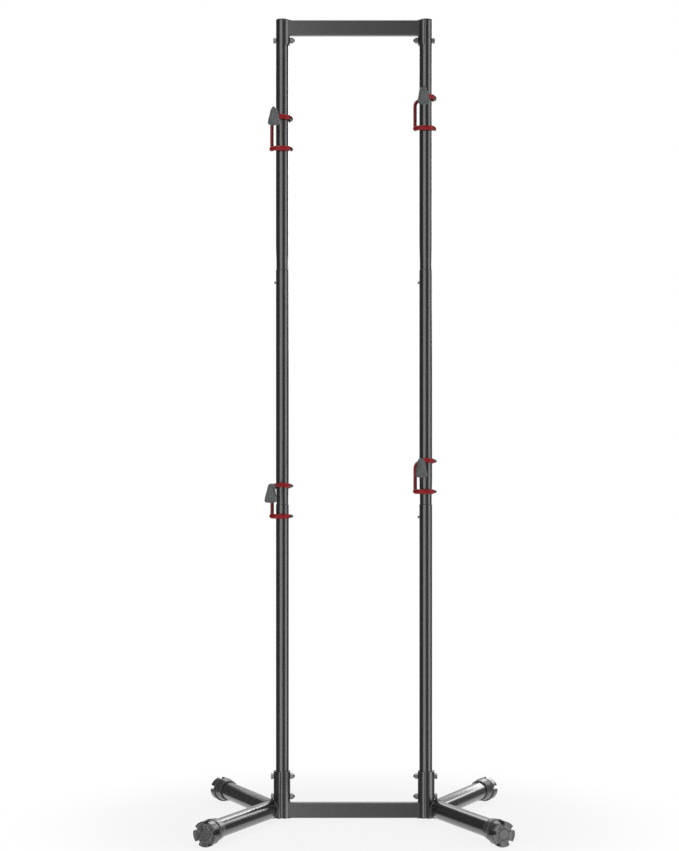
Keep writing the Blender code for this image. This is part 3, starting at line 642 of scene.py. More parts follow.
def sleeve_shape(points, start, end):
    """A close, slightly uneven sleeve over one stretch of the rod, open at both ends, with soft lips."""
    route = Route(points, (1, 0, 0))
    wall = SLEEVE_RADIUS - SLEEVE_BORE
    outer, inner = [], []
    for index in range(start, end + 1):
        wave = SLEEVE_WAVE * (sin(index * SLEEVE_QUICK_WAVE) + sin(index * SLEEVE_SLOW_WAVE + 1))
        outer.append(route.ring(index, circle(SLEEVE_RADIUS - 2 * SLEEVE_WAVE + wave)))
        inner.append(route.ring(index, circle(SLEEVE_BORE)))

    def lip(index, inside):
        """Rings that round the sleeve's end over, from its bore to its full radius."""
        rings = []
        for angle in steps_between(0, pi, SLEEVE_LIP_STEPS)[1:-1]:
            radius = SLEEVE_BORE + wall / 2 * (1 - cos(angle))
            rings.append(route.ring(index, circle(radius), inside * SLEEVE_LIP * (1 - sin(angle))))
        return rings

    first = lip(start, 1)
    final = lip(end, -1)
    return lofted(first + outer[1:-1] + final[::-1] + inner[1:-1][::-1], closed=True)


def bead_shape(points, first_normal):
    """A weld bead along a closed line: a rounded ridge with the ripples of its pools."""
    route = Route(evenly_spaced(points, BEAD_PITCH / STATIONS_PER_RIPPLE), first_normal, closed=True)
    rings = []
    for index, distance in enumerate(route.distances):
        ripple = BEAD_RIPPLE * sin(pi * distance / BEAD_PITCH) ** 2
        rings.append(route.ring(index, circle(BEAD_RADIUS - BEAD_RIPPLE + ripple, BEAD_SIDES)))
    return lofted(rings, closed=True)


def evenly_spaced(points, spacing):
    """The same closed line through points at an even spacing."""
    line = points + points[:1]
    lengths = [(after - before).length for before, after in zip(line, line[1:])]
    count = round(sum(lengths) / spacing)
    spaced = []
    piece, used = 0, 0.0
    for step in range(count):
        target = sum(lengths) * step / count
        while piece < len(lengths) - 1 and used + lengths[piece] < target:
            used += lengths[piece]
            piece += 1
        share = (target - used) / lengths[piece]
        spaced.append(line[piece].lerp(line[piece + 1], min(share, 1.0)))
    return spaced


# Materials

def srgb(red, green, blue):
    """Linear colour of an 8-bit colour."""
    return [((value / 255 + 0.055) / 1.055) ** 2.4 for value in (red, green, blue)] + [1]


def set_inputs(node, **values):
    """Sets inputs of a shader node, named here with low lines for spaces, and returns the node."""
    for name, value in values.items():
        node.inputs[name.replace("_", " ")].default_value = value
    return node


def new_material(name):
    material = bpy.data.materials.new(name)
    material.use_nodes = True
    return material, material.node_tree.nodes, material.node_tree.links


class Finish:
    """A material under construction: a Principled shader and the nodes that vary it over the surface.
    The sizes of its patches and bumps are in metres."""

    def __init__(self, name, roughness, metallic=0.0, **inputs):
        self.material, self.nodes, self.links = new_material(name)
        self.shader = self.nodes["Principled BSDF"]
        set_inputs(self.shader, Roughness=roughness, Metallic=metallic, **inputs)
        self.place = self.nodes.new("ShaderNodeTexCoord").outputs["Object"]
        self.bumps = None

    def noise(self, size, detail, stretch=EVEN):
        """A noise whose features are about the given size."""
        mapping = set_inputs(self.nodes.new("ShaderNodeMapping"), Scale=[part / size for part in stretch])
        texture = set_inputs(self.nodes.new("ShaderNodeTexNoise"), Scale=1.0, Detail=detail)
        self.links.new(self.place, mapping.inputs["Vector"])
        self.links.new(mapping.outputs["Vector"], texture.inputs["Vector"])
        return texture.outputs["Fac"]

    def spread(self, source, low, high):
        """A value that runs from low to high over the used part of a noise's range."""
        node = self.nodes.new("ShaderNodeMapRange")
        set_inputs(node, From_Min=NOISE_LOW, From_Max=NOISE_HIGH, To_Min=low, To_Max=high)
        self.links.new(source, node.inputs["Value"])
        return node.outputs["Result"]

    def stored(self, name):
        """A value that the mesh keeps at its vertices."""
        node = self.nodes.new("ShaderNodeAttribute")
        node.attribute_name = name
        return node.outputs["Fac"]

    def mixed(self, one, other, source):
        """A colour between two, each of them a fixed colour or another node's."""
        node = self.nodes.new("ShaderNodeMix")
        node.data_type = "RGBA"
        for place, colour in ((MIX_FIRST, one), (MIX_SECOND, other)):
            if isinstance(colour, list):
                node.inputs[place].default_value = colour
            else:
                self.links.new(colour, node.inputs[place])
        self.links.new(source, node.inputs["Factor"])
        return node.outputs[MIX_RESULT]

    def tones(self, dark, light, size, detail=NOISE_DETAIL):
        """A colour that wanders between two 8-bit colours, in patches of about the given size."""
        return self.mixed(srgb(*dark), srgb(*light), self.spread(self.noise(size, detail), 0, 1))

    def colour(self, source):
        self.links.new(source, self.shader.inputs["Base Color"])

    def roughness(self, size, low, high, stretch=EVEN):
        """Roughness that wanders from low to high, in patches of about the given size."""
        source = self.spread(self.noise(size, ROUGHNESS_DETAIL, stretch), low, high)
        self.links.new(source, self.shader.inputs["Roughness"])

    def relief(self, size, detail, depth, stretch=EVEN):
        """Bumps of about the given size and depth, on top of any bumps before them."""
        node = set_inputs(self.nodes.new("ShaderNodeBump"), Distance=depth)
        self.links.new(self.noise(size, detail, stretch), node.inputs["Height"])
        if self.bumps:
            self.links.new(self.bumps, node.inputs["Normal"])
        self.bumps = node.outputs["Normal"]
        self.links.new(self.bumps, self.shader.inputs["Normal"])


def black_powder_coat():
    """Satin black powder coat: fine orange peel over a faint slow unevenness."""
    finish = Finish(
        "black_powder_coat", roughness=0.23, Specular_IOR_Level=1.0, Coat_Weight=0.3, Coat_Roughness=0.18
    )
    finish.colour(finish.tones(dark=(29, 29, 30), light=(36, 36, 37), size=0.03))
    finish.roughness(size=0.012, low=0.21, high=0.25)
    finish.relief(size=0.0016, detail=2, depth=0.000006)
    return finish.material


def red_paint():
    """Gloss paint on the bent rods, duller in places, with painted shade on the far round of the loops,
    where they turn round the post out of the light.
    """
    finish = Finish("red_paint", roughness=0.3, Specular_IOR_Level=0.4)
    paint = finish.tones(dark=(116, 7, 16), light=(138, 10, 23), size=0.02)
    # Painted shade: the paint is mixed toward a dark red by a vertex mask on the far round of the loops
    finish.colour(finish.mixed(paint, srgb(58, 10, 15), finish.stored("far_round_painted_shade")))
    finish.roughness(size=0.01, low=0.24, high=0.36)
    finish.relief(size=0.003, detail=2, depth=0.00001)
    return finish.material


def red_vinyl():
    """Soft dipped vinyl, darker in places, with a skin that is a little uneven."""
    finish = Finish("red_vinyl", roughness=0.45, Specular_IOR_Level=0.3)
    finish.colour(finish.tones(dark=(140, 9, 20), light=(160, 14, 27), size=0.008))
    finish.roughness(size=0.004, low=0.4, high=0.55)
    finish.relief(size=0.0008, detail=3, depth=0.00001)
    finish.relief(size=0.005, detail=2, depth=0.00006)
    return finish.material


def grey_rubber():
    """Moulded matt rubber with a mottled bloom and a fine grain."""
    finish = Finish("grey_rubber", roughness=0.7, Specular_IOR_Level=0.35)
    finish.colour(finish.tones(dark=(86, 89, 91), light=(110, 112, 114), size=0.004, detail=6))
    finish.roughness(size=0.002, low=0.6, high=0.85)
    finish.relief(size=0.0007, detail=4, depth=0.0001)
    finish.relief(size=0.004, detail=3, depth=0.0003)
    return finish.material


def grey_plastic():
    """Moulded dark grey plastic with a fine spark-eroded grain."""
    finish = Finish("grey_plastic", roughness=0.3, Specular_IOR_Level=1.0)
    finish.colour(finish.tones(dark=(58, 58, 59), light=(68, 68, 69), size=0.006))
    finish.roughness(size=0.003, low=0.27, high=0.32)
    finish.relief(size=0.0006, detail=3, depth=0.000004)
    return finish.material


def black_plastic():
    """Moulded black plastic with faint flow marks."""
    finish = Finish("black_plastic", roughness=0.45, Specular_IOR_Level=0.5)
    finish.colour(finish.tones(dark=(44, 44, 46), light=(54, 54, 56), size=0.01))
    finish.roughness(size=0.005, low=0.38, high=0.52)
    finish.relief(size=0.0008, detail=3, depth=0.00005)
    return finish.material


def zinc_steel():
    """Bright zinc plating: a cloudy tone with fine turned lines."""
    finish = Finish("zinc_steel", roughness=0.28, metallic=1.0)
    finish.colour(finish.tones(dark=(116, 117, 120), light=(132, 132, 131), size=0.003))
    finish.roughness(size=0.002, low=0.22, high=0.34, stretch=(8, 1, 1))
    finish.relief(size=0.0008, detail=3, depth=0.000008, stretch=(6, 1, 1))
    return finish.material


# The slot and the material of each kind of part
FINISHES = {
    "frame": ("black_powder_coat", black_powder_coat()),
    "arm": ("red_paint", red_paint()),
    "sleeve": ("red_vinyl", red_vinyl()),
    "cradle": ("grey_rubber", grey_rubber()),
    "cap": ("black_plastic", grey_plastic()),
    "plastic": ("black_plastic", black_plastic()),
    "steel": ("zinc_steel", zinc_steel()),
}


# Posts

def post_shape(bottom, top, spigot):
    """One length of post tube, drawn in to a neck and a spigot where it plugs into the length below."""
    profile = [(POST_RADIUS, top, MOUTH_EDGE), (POST_BORE, top, TUBE_EDGE / 2)]
    if spigot:
        shoulder = bottom + CLEARANCE
        neck_top = shoulder + NECK_LENGTH
        full_width = neck_top + NECK_TAPER
        profile += [
            (POST_BORE, full_width, NECK_LENGTH / 2),
            (NECK_RADIUS - POST_WALL, neck_top, NECK_LENGTH / 3),
            (SPIGOT_BORE, shoulder, 0),
            (SPIGOT_BORE, bottom - SPIGOT_LENGTH, 0),
            (SPIGOT_RADIUS, bottom - SPIGOT_LENGTH, TUBE_EDGE),
            (SPIGOT_RADIUS, shoulder, 0),
            (NECK_RADIUS, shoulder, MOUTH_EDGE),
            (NECK_RADIUS, neck_top, NECK_LENGTH / 3),
            (POST_RADIUS, full_width, NECK_LENGTH / 2),
        ]
    else:
        profile += [(POST_BORE, bottom, TUBE_EDGE / 2), (POST_RADIUS, bottom, TUBE_EDGE)]
    return lathe(eased(profile))


def add_post(side, outward):
    x = outward * POST_X
    at_post = Matrix.Translation((x, 0, 0))
    lengths = {
        "lower": (POST_FOOT, LOWER_JOINT),
        "middle": (LOWER_JOINT, UPPER_JOINT),
        "upper": (UPPER_JOINT, POST_TOP),
    }
    holes = {
        "lower": [bolt_hole(x, BOLT_HEIGHTS["lower_base"]), bolt_hole(x, BOLT_HEIGHTS["upper_base"])],
        "middle": [],
        "upper": [bolt_hole(x, BOLT_HEIGHTS["top"])],
    }
    for below, above, joint in (("lower", "middle", LOWER_JOINT), ("middle", "upper", UPPER_JOINT)):
        height = joint - BUTTON_BELOW_JOINT
        for part in (below, above):
            hole = bar(BUTTON_HOLE, -POST_RADIUS - BUTTON_PROUD, -SPIGOT_BORE / 2, HOLE_SIDES)
            holes[part].append(moved(hole, lengthways(x, height)))
        name = f"{side}_{below}_joint_button"
        button = moved(button_shape(), lengthways(x, height))
        add_piece(f"{name}_form", button, "steel", name, name)
    for part, (bottom, top) in lengths.items():
        tube = moved(post_shape(bottom, top, part != "lower"), at_post)
        node = f"{side}_post_{part}"
        tube = carved(tube, *holes[part])
        add_piece(f"{node}_tube", tube, "frame", "stand", node)
    plug = moved(plug_shape(), at_post)
    node = f"{side}_post_plug"
    add_piece(f"{node}_form", plug, "plastic", "stand", node)


def bolt_hole(x, height):
    reach = OUTER_SADDLE_RADIUS + POST_RADIUS
    return moved(bar(BOLT_HOLE, -reach, reach, HOLE_SIDES), lengthways(x, height))


def button_shape():
    """A domed button, its dome toward -Z, with its flange behind the wall of the spigot."""
    seat = BUTTON_FLANGE - BUTTON_BACK
    face = POST_RADIUS + BUTTON_PROUD
    dome = BUTTON_RADIUS * BUTTON_DOME_SHARE
    profile = [(0, -face)]
    for angle in steps_between(0, pi / 2, BUTTON_DOME_STEPS)[1:]:
        profile.append((BUTTON_RADIUS * sin(angle), -face + dome * (1 - cos(angle))))
    profile += [(BUTTON_RADIUS, -seat), (BUTTON_FLANGE_RADIUS, -seat)]
    profile += [(BUTTON_FLANGE_RADIUS, BUTTON_FLANGE - seat), (0, BUTTON_FLANGE - seat)]
    return lathe(profile, HOLE_SIDES)


def plug_shape():
    """A plug in a post's top: a low domed flange on a hollow stem."""
    flange = RACK_HEIGHT - PLUG_FLANGE
    stem = POST_BORE - CLEARANCE
    core = stem - PLUG_WALL
    end = flange - PLUG_STEM
    corners = [
        (0, RACK_HEIGHT, 0),
        (POST_RADIUS * PLUG_CROWN_SHARE, RACK_HEIGHT - PLUG_FLANGE * PLUG_CROWN_DROP, PLUG_CROWN_EASE),
        (POST_RADIUS, RACK_HEIGHT - PLUG_FLANGE * PLUG_RIM_DROP, PLUG_RIM_EASE),
        (POST_RADIUS, flange, PLUG_RIM_EASE / 2),
        (stem, flange, 0),
        (stem, end, PLUG_END_EASE),
        (core, end, PLUG_END_EASE / 2),
        (core, flange, 0),
        (0, flange, 0),
    ]
    return lathe(eased(corners))


# Crossbars, saddles and legs

def post_space(x, bottom, top):
    """The space of a post between two heights, with its clearance and the bolts through it there."""
    seat = moved(bar(SEAT_RADIUS, bottom - POST_RADIUS, top + POST_RADIUS), Matrix.Translation((x, 0, 0)))
    holes = [bolt_hole(x, height) for height in BOLT_HEIGHTS.values() if bottom < height < top]
    return carved(seat, *holes, operation="UNION")


def saddle_shape(x, outer, half_angle, bottom, top, facing):
    """A half-round saddle plate with eased edges, on the side of a post that it faces."""
    middle = 0.0 if facing > 0 else pi
    edge_angle = SADDLE_EDGE / outer
    angles = [half_angle * (2 * step / SADDLE_STEPS - 1) for step in range(SADDLE_STEPS + 1)]
    ends = [
        (half_angle + edge_angle * (share - 1), 1 - sqrt(1 - share**2))
        for share in SADDLE_END_SHARES
    ]
    inside = [angle for angle in angles if abs(angle) < half_angle - SADDLE_END_SPARE * edge_angle]
    stations = [(-angle, inset) for angle, inset in reversed(ends)] + [(a, 0.0) for a in inside] + ends
    rings = []
    for angle, inset in stations:
        shrink = inset * SADDLE_EDGE
        corners = [
            (SEAT_RADIUS, bottom + shrink, SADDLE_SEAT_EDGE),
            (outer - shrink, bottom + shrink, SADDLE_EDGE),
            (outer - shrink, top - shrink, SADDLE_EDGE),
            (SEAT_RADIUS, top - shrink, SADDLE_SEAT_EDGE),
        ]
        across, along = cos(middle + angle), sin(middle + angle)
        rings.append([(x + radius * across, radius * along, height) for radius, height in eased(corners)])
    return lofted(rings)


def add_crossbar(name, base, saddle_bottom, saddle_top):
    """A flat tube between the posts, welded at each end to a half-round saddle."""
    centre = base + CROSSBAR_HEIGHT / 2
    blank = POST_X - POST_RADIUS
    place = lengthways(0, centre)
    outline = rounded_rectangle(CROSSBAR_HEIGHT, CROSSBAR_DEPTH, CROSSBAR_CORNER)
    tube = moved(prism(outline, -blank, blank), place)
    saddles, beads, spaces = [], [], []
    for sign in (-1, 1):
        x = sign * POST_X
        saddles.append(
            saddle_shape(x, INNER_SADDLE_RADIUS, INNER_SADDLE_HALF_ANGLE, saddle_bottom, saddle_top, -sign)
        )
        spaces.append(post_space(x, saddle_bottom, saddle_top))
        line = []
        for up, across in outline:
            reach = sqrt(INNER_SADDLE_RADIUS**2 - across**2)
            line.append(Vector((x - sign * reach, across, centre - up)))
        beads.append(bead_shape(line, (1, 0, 0)))

    hollow = rounded_rectangle(
        CROSSBAR_HEIGHT - 2 * CROSSBAR_WALL,
        CROSSBAR_DEPTH - 2 * CROSSBAR_WALL,
        CROSSBAR_CORNER - CROSSBAR_WALL,
    )
    reach = POST_X - INNER_SADDLE_RADIUS
    inside = moved(prism(hollow, -reach, reach), place)
    vents = [
        moved(bar(VENT_RADIUS, base - CROSSBAR_WALL, centre, VENT_SIDES), Matrix.Translation((x, 0, 0)))
        for x in (VENT_FROM_POST - POST_X, POST_X - VENT_FROM_POST)
    ]
    whole = carved(tube, *saddles, operation="UNION")
    whole = carved(whole, *spaces)
    whole = carved(whole, inside, *vents)
    add_piece(f"{name}_tube", whole, "frame", "stand", name)
    add_piece(f"{name}_welds", joined(beads), "frame", "stand", sharp=BEAD_SHARP_ANGLE)


def leg_direction(outward, back):
    return Vector((outward * cos(LEG_ANGLE), back * sin(LEG_ANGLE), 0))


def leg_place(outward, back):
    """Places a shape made along Z on a leg's axis, with its Y axis up."""
    direction = leg_direction(outward, back)
    up = Vector((0, 0, 1))
    turn = Matrix((up.cross(direction), up, direction)).transposed().to_4x4()
    return Matrix.Translation((outward * (POST_X + LEG_APEX_FROM_POST), 0, LEG_HEIGHT)) @ turn


def leg_pair_shape(outward):
    """The two leg tubes of one side, mitred on the plane between them."""
    shape = bar(LEG_RADIUS, -2 * LEG_RADIUS, LEG_TUBE_END)
    moved(shape, leg_place(outward, 1))
    whole = shape.verts[:] + shape.edges[:] + shape.faces[:]
    bmesh.ops.bisect_plane(shape, geom=whole, plane_co=(0, 0, 0), plane_no=(0, 1, 0), clear_inner=True)
    half = shape.verts[:] + shape.edges[:] + shape.faces[:]
    bmesh.ops.mirror(shape, geom=half, axis="Y", merge_dist=MERGE_REACH)
    return shape


def leg_bead(outward, back):
    """Weld bead round a leg tube, where it leaves the saddle or meets the other tube."""
    direction = leg_direction(outward, back)
    apex = Vector((outward * (POST_X + LEG_APEX_FROM_POST), 0, LEG_HEIGHT))
    sideways = Vector((0, 0, 1)).cross(direction)
    post = Vector((outward * POST_X, 0, 0))
    line = []
    for x, y in circle(LEG_RADIUS, ROUND_SIDES):
        start = apex + sideways * x + Vector((0, 0, y))
        offset = Vector((start.x - post.x, start.y, 0))
        along = offset.dot(direction)
        inside = along**2 - offset.length_squared + OUTER_SADDLE_RADIUS**2
        mitre = -start.y / direction.y
        reach = mitre
        if inside > 0:
            reach = max(mitre, -along + sqrt(inside))
        line.append(start + direction * reach)
    return bead_shape(line, direction)


def add_leg_frame(side, outward):
    """Two leg tubes welded in a V to the outer saddle of a post."""
    x = outward * POST_X
    saddle = saddle_shape(x, OUTER_SADDLE_RADIUS, OUTER_SADDLE_HALF_ANGLE, POST_FOOT, SADDLE_TOP, outward)
    whole = carved(leg_pair_shape(outward), saddle, operation="UNION")
    whole = carved(whole, post_space(x, 0, SADDLE_TOP))
    node = f"{side}_leg_frame"
    add_piece(f"{node}_tubes", whole, "frame", "stand", node)
    beads = [leg_bead(outward, back) for back in (-1, 1)]
    add_piece(f"{node}_welds", joined(beads), "frame", "stand", sharp=BEAD_SHARP_ANGLE)


# Levelling caps

def head_outline(inset):
    """A cap's head about its own centre: a circle with round-floored channels, moved in by an inset."""
    pitch = tau / CAP_CHANNELS
    half = CAP_CHANNEL_HALF_ANGLE
    centre = (CAP_HEAD_RADIUS - CAP_CHANNEL_DEPTH) / (1 - sin(half))
    rim_radius = CAP_HEAD_RADIUS - inset
    rim_start = half + CAP_CHANNEL_FLARE + asin(inset / rim_radius)
    corner = Vector((rim_radius * cos(rim_start), rim_radius * sin(rim_start)))
    floor_radius = centre * sin(half) + inset
    floor = arc(floor_radius, -pi / 2 - half, -pi * 1.5 + half, CAP_CHANNEL_STEPS, (centre, 0.0))
    wall = [floor[-1].lerp(corner, share) for share in CAP_CHANNEL_WALL_SHARES]
    opposite = [Vector((point.x, -point.y)) for point in reversed(wall)]
    rim = arc(rim_radius, rim_start, pitch - rim_start, CAP_RIM_STEPS)[1:-1]
    points = []
    for channel in range(CAP_CHANNELS):
        spin = Matrix.Rotation(channel * pitch, 2)
        points += [spin @ point for point in opposite + floor + wall + rim]
    return points


def dip(distance, half_width):
    """How deep a round-bottomed groove is at a distance from its middle, from 1 there to 0 at its edge."""
    return max(0.0, 1 - (distance / half_width) ** 2)


def face_relief(point):
    """Depth of the pattern in a cap's face: a ring, a spoke to each channel and shallow pads between."""
    radius = point.length
    angle = atan2(point.y, point.x) % (tau / CAP_CHANNELS)
    from_spoke = min(angle, tau / CAP_CHANNELS - angle)
    depth = FACE_RING_DEPTH * dip(radius - FACE_RING_RADIUS, FACE_RING_HALF_WIDTH)
    if radius > FACE_RING_RADIUS:
        depth = max(depth, FACE_SPOKE_DEPTH * dip(radius * sin(from_spoke), FACE_SPOKE_HALF_WIDTH))
    from_pad = pi / CAP_CHANNELS - from_spoke
    across = radius * sin(from_pad) / FACE_PAD_LENGTH
    up = (radius * cos(from_pad) - FACE_PAD_CENTRE) / FACE_PAD_WIDTH
    reach = hypot(across, up)
    depth = max(depth, FACE_PAD_DEPTH * min(1.0, max(0.0, (1 - reach) * FACE_PAD_STEEPNESS)))
    return depth


def head_shape():
    """The grooved head of a cap, along Z about its own centre, with its moulded face at the far end."""
    start, end = LEG_REACH - CAP_HEAD_LENGTH, LEG_REACH
    quarter = steps_between(0, pi / 2, CAP_EDGE_STEPS)
    rims = [(start, 1, angle) for angle in quarter] + [(end, -1, angle) for angle in reversed(quarter)]
    rings = []
    for face_height, inward, angle in rims:
        height = face_height + inward * CAP_EDGE * (1 - cos(angle))
        rings.append([(x, y, height) for x, y in head_outline(CAP_EDGE * (1 - sin(angle)))])
    face = head_outline(CAP_EDGE)
    for number in range(1, FACE_RINGS + 1):
        share = 1 - number / FACE_DIVISIONS
        ring = []
        for point in face:
            place = point * share
            ring.append((place.x, place.y, end - face_relief(place)))
        rings.append(ring)
    head = lofted(rings)
    head.faces.ensure_lookup_table()
    bmesh.ops.poke(head, faces=head.faces[-2:])
    return head


def add_cap(end_name, side, outward, back):
    """A levelling cap: a collar that turns on the leg tube, a neck, and a grooved head set off centre."""
    head_start = LEG_REACH - CAP_HEAD_LENGTH
    collar_end = head_start - CAP_NECK_LENGTH
    collar_start = collar_end - CAP_COLLAR_LENGTH
    lip = CAP_LIP_RADIUS - CAP_BORE
    corners = [
        (CAP_BORE, collar_start, CAP_MOUTH_EDGE),
        (CAP_LIP_RADIUS, collar_start, lip / 2),
        (CAP_COLLAR_RADIUS, collar_end, CAP_EDGE),
        (CAP_NECK_RADIUS, collar_end, CAP_EDGE / 3),
        (CAP_NECK_RADIUS, head_start + CAP_EDGE, 0),
        (0, head_start + CAP_EDGE, 0),
        (0, CAP_BORE_END, 0),
        (CAP_BORE, CAP_BORE_END, 0),
    ]
    first = LEFT_CAP_FIRST_CHANNEL if outward < 0 else pi - LEFT_CAP_FIRST_CHANNEL
    head = moved(head_shape(), Matrix.Translation((0, -CAP_OFFSET, 0)) @ Matrix.Rotation(first, 4, "Z"))
    whole = moved(joined([lathe(eased(corners)), head]), leg_place(outward, back))
    node = f"{end_name}_{side}_cap"
    add_piece(f"{node}_form", whole, "cap", node, node, sharp=CAP_SHARP_ANGLE)


# Fasteners

def hexagon(start, end):
    """A hexagonal bar whose corners are turned off at its far end."""
    corner = HEX_ACROSS_FLATS / 2 / cos(pi / HEX_CORNERS)
    block = prism(circle(corner, HEX_CORNERS), start, end)
    flat = HEX_ACROSS_FLATS / 2 * HEX_CROWN_SHARE
    drop = (corner - flat) * tan(HEX_CHAMFER) * HEX_CHAMFER_SPARE
    wide, below = corner + HEX_SPARE, start - HEX_SPARE
    turned_off = lathe([(0, below), (wide, below), (wide, end - drop), (flat, end), (0, end)], HEAD_SIDES)
    return carved(block, turned_off, operation="INTERSECT")


def threaded_bar(start, end, thread_start):
    """A bolt's shank along Z with its end at the low side, and ridges on the threaded part."""
    profile = [(0, start), (BOLT_RADIUS - BOLT_TIP_INSET, start)]
    height = start + THREAD_PITCH / 2
    while height < thread_start:
        profile += [(BOLT_RADIUS - THREAD_DEPTH, height), (BOLT_RADIUS, height + THREAD_PITCH / 2)]
        height += THREAD_PITCH
    profile += [(BOLT_RADIUS, thread_start + THREAD_PITCH), (BOLT_RADIUS, end), (0, end)]
    return lathe(profile, HOLE_SIDES)


def add_bolt(side, outward, place):
    """A hexagon bolt through a post, its head outside and its lock nut inside."""
    x, height = outward * POST_X, BOLT_HEIGHTS[place]
    seat = (POST_RADIUS if place == "top" else OUTER_SADDLE_RADIUS) + CLEARANCE
    nut_seat = INNER_SADDLE_RADIUS + CLEARANCE
    tip = -(nut_seat + NUT_HEIGHT + BOLT_END_PROUD)
    shank = threaded_bar(tip, seat + BOLT_HEAD / 2, -nut_seat)
    washer_face = bar(HEX_ACROSS_FLATS * WASHER_FACE_SHARE, seat, seat + WASHER_FACE, HEAD_SIDES)
    head = hexagon(seat + WASHER_FACE, seat + BOLT_HEAD)
    bolt = moved(joined([shank, washer_face, head]), lengthways(x, height, outward))
    node = f"{side}_{place}_bolt"
    add_piece(f"{node}_form", bolt, "steel", "stand", node, sharp=HEX_SHARP_ANGLE)

    top = nut_seat + NUT_HEIGHT
    body = hexagon(nut_seat, top - NUT_COLLAR)
    bored = carved(body, bar(BOLT_HOLE, nut_seat - NUT_HEIGHT, top + NUT_HEIGHT, HOLE_SIDES))
    corners = [
        (BOLT_HOLE, nut_seat + NUT_HEIGHT / 2, 0),
        (NUT_COLLAR_RADIUS, nut_seat + NUT_HEIGHT / 2, 0),
        (NUT_COLLAR_RADIUS, top, NUT_COLLAR_EDGE),
        (BOLT_HOLE + NUT_MOUTH, top, NUT_MOUTH_EDGE),
        (BOLT_HOLE, top - NUT_MOUTH_DEPTH, 0),
    ]
    collar = lathe(eased(corners), HOLE_SIDES)
    nut = moved(joined([bored, collar]), lengthways(x, height, -outward))
    node = f"{side}_{place}_nut"
    add_piece(f"{node}_form", nut, "steel", "stand", node, sharp=HEX_SHARP_ANGLE)


# Arms

def cradle_section(width, thickness, dip_depth):
    """A flat oval outline: width sideways, thickness outward, its inner side lowered by a rib's dip."""
    outline = []
    for side in range(CRADLE_SIDES):
        angle = tau * side / CRADLE_SIDES
        across, out = cos(angle), sin(angle)
        x = width / 2 * copysign(abs(across) ** CRADLE_EDGE_POWER, across)
        y = thickness / 2 * copysign(abs(out) ** CRADLE_FLAT_POWER, out)
        if out > 0:
            y -= dip_depth * out
        outline.append((x, y))
    return outline


def cradle_shape(points):
    """A moulded cradle: a broad U-shaped pad, ribbed inside, that narrows to its tip and to its tail."""
    beyond = (points[0] - points[1]).normalized()
    shares = steps_between(0, 1, CRADLE_TIP_STEPS)[:-1]
    tip_points = [points[0] + beyond * (CRADLE_TIP_COVER * (1 - share)) for share in shares]
    route = Route(tip_points + points, (1, 0, 0))
    length = route.distances[-1]
    broadest = CRADLE_TIP_HEIGHT + CRADLE_RADIUS * pi / 2
    rings = []
    for index, distance in enumerate(route.distances):
        if distance < broadest:
            narrow, share = CRADLE_TIP_WIDTH, distance / broadest
        else:
            narrow, share = CRADLE_TAIL_WIDTH, (length - distance) / (length - broadest)
        width = narrow + (CRADLE_SEAT_WIDTH - narrow) * sin(pi / 2 * share) ** CRADLE_SWELL
        left = min(distance, length - distance)
        rounded = sqrt(max(CRADLE_LEAST_TIP, 1 - max(0.0, 1 - distance / CRADLE_TIP_COVER) ** 2))
        rib = CRADLE_RIB_DEPTH * (1 - abs(sin(pi * distance / CRADLE_RIB_PITCH)) ** CRADLE_RIB_POWER)
        if left < 2 * CRADLE_TIP_COVER:
            rib = 0.0
        rings.append(route.ring(index, cradle_section(width * rounded, CRADLE_THICKNESS * rounded, rib)))
    return lofted(rings)


def add_arm(name, outward, height, swivel):
    """An arm on its post: the rod, its cradle and its three sleeves."""
    arm = f"{name}_arm"
    place = Matrix.Translation((outward * POST_X, 0, height)) @ Matrix.Rotation(swivel, 4, "Z")
    points, spans = lay_out_arm()
    rod = rod_shape(points)
    # Painted shade: a vertex mask from 0 to 1 across the rod's far round to the right of the post, which
    # darkens its paint
    far_round_painted_shade = rod.verts.layers.float.new("far_round_painted_shade")
    for vert in rod.verts:
        vert[far_round_painted_shade] = min(1.0, max(0.0, (vert.co.x - PAINTED_SHADE_START) / (POST_RADIUS - PAINTED_SHADE_START)))
    add_piece(f"{arm}_rod", moved(rod, place), "arm", arm, arm)

    start, end = spans["cradle"]
    path = [point.copy() for point in points[start : end + 2]]
    path[0] += (path[0] - path[1]).normalized() * CLEARANCE
    route = Route(path, (1, 0, 0))
    bore = lofted([route.ring(index, circle(SLEEVE_BORE)) for index in range(len(path))])
    cradle = moved(carved(cradle_shape(points[start : end + 1]), bore), place)
    add_piece(f"{arm}_cradle_pad", cradle, "cradle", arm, f"{arm}_cradle")

    for part in ("front_sleeve", "rear_sleeve", "lower_sleeve"):
        sleeve = moved(sleeve_shape(points, *spans[part]), place)
        add_piece(f"{arm}_{part}_skin", sleeve, "sleeve", arm, f"{arm}_{part}")


# Stage, light and camera

def add_area_light(name, location, target, width, height, glow):
    """A soft light panel that faces a target and doesn't show itself. Its glow is its radiance."""
    light = bpy.data.lights.new(name, "AREA")
    light.shape = "RECTANGLE"
    light.size = width
    light.size_y = height
    light.energy = glow * pi * width * height
    lamp = placed(name, light)
    lamp.location = location
    lamp.rotation_euler = (Vector(target) - Vector(location)).to_track_quat("-Z", "Y").to_euler()
    lamp.visible_camera = False


def combined(nodes, links, operation, one, other):
    """The sum or product of two values, held between 0 and 1."""
    node = nodes.new("ShaderNodeMath")
    node.operation = operation
    node.use_clamp = True
    links.new(one, node.inputs[0])
    links.new(other, node.inputs[1])
    return node.outputs[0]


def seen_directly(nodes, links):
    """1 for rays from the camera and for those that come by way of gloss or glass, and 0 for the rest."""
    path = nodes.new("ShaderNodeLightPath")
    total = path.outputs["Is Camera Ray"]
    for kind in ("Is Glossy Ray", "Is Transmission Ray"):
        total = combined(nodes, links, "ADD", total, path.outputs[kind])
    return total


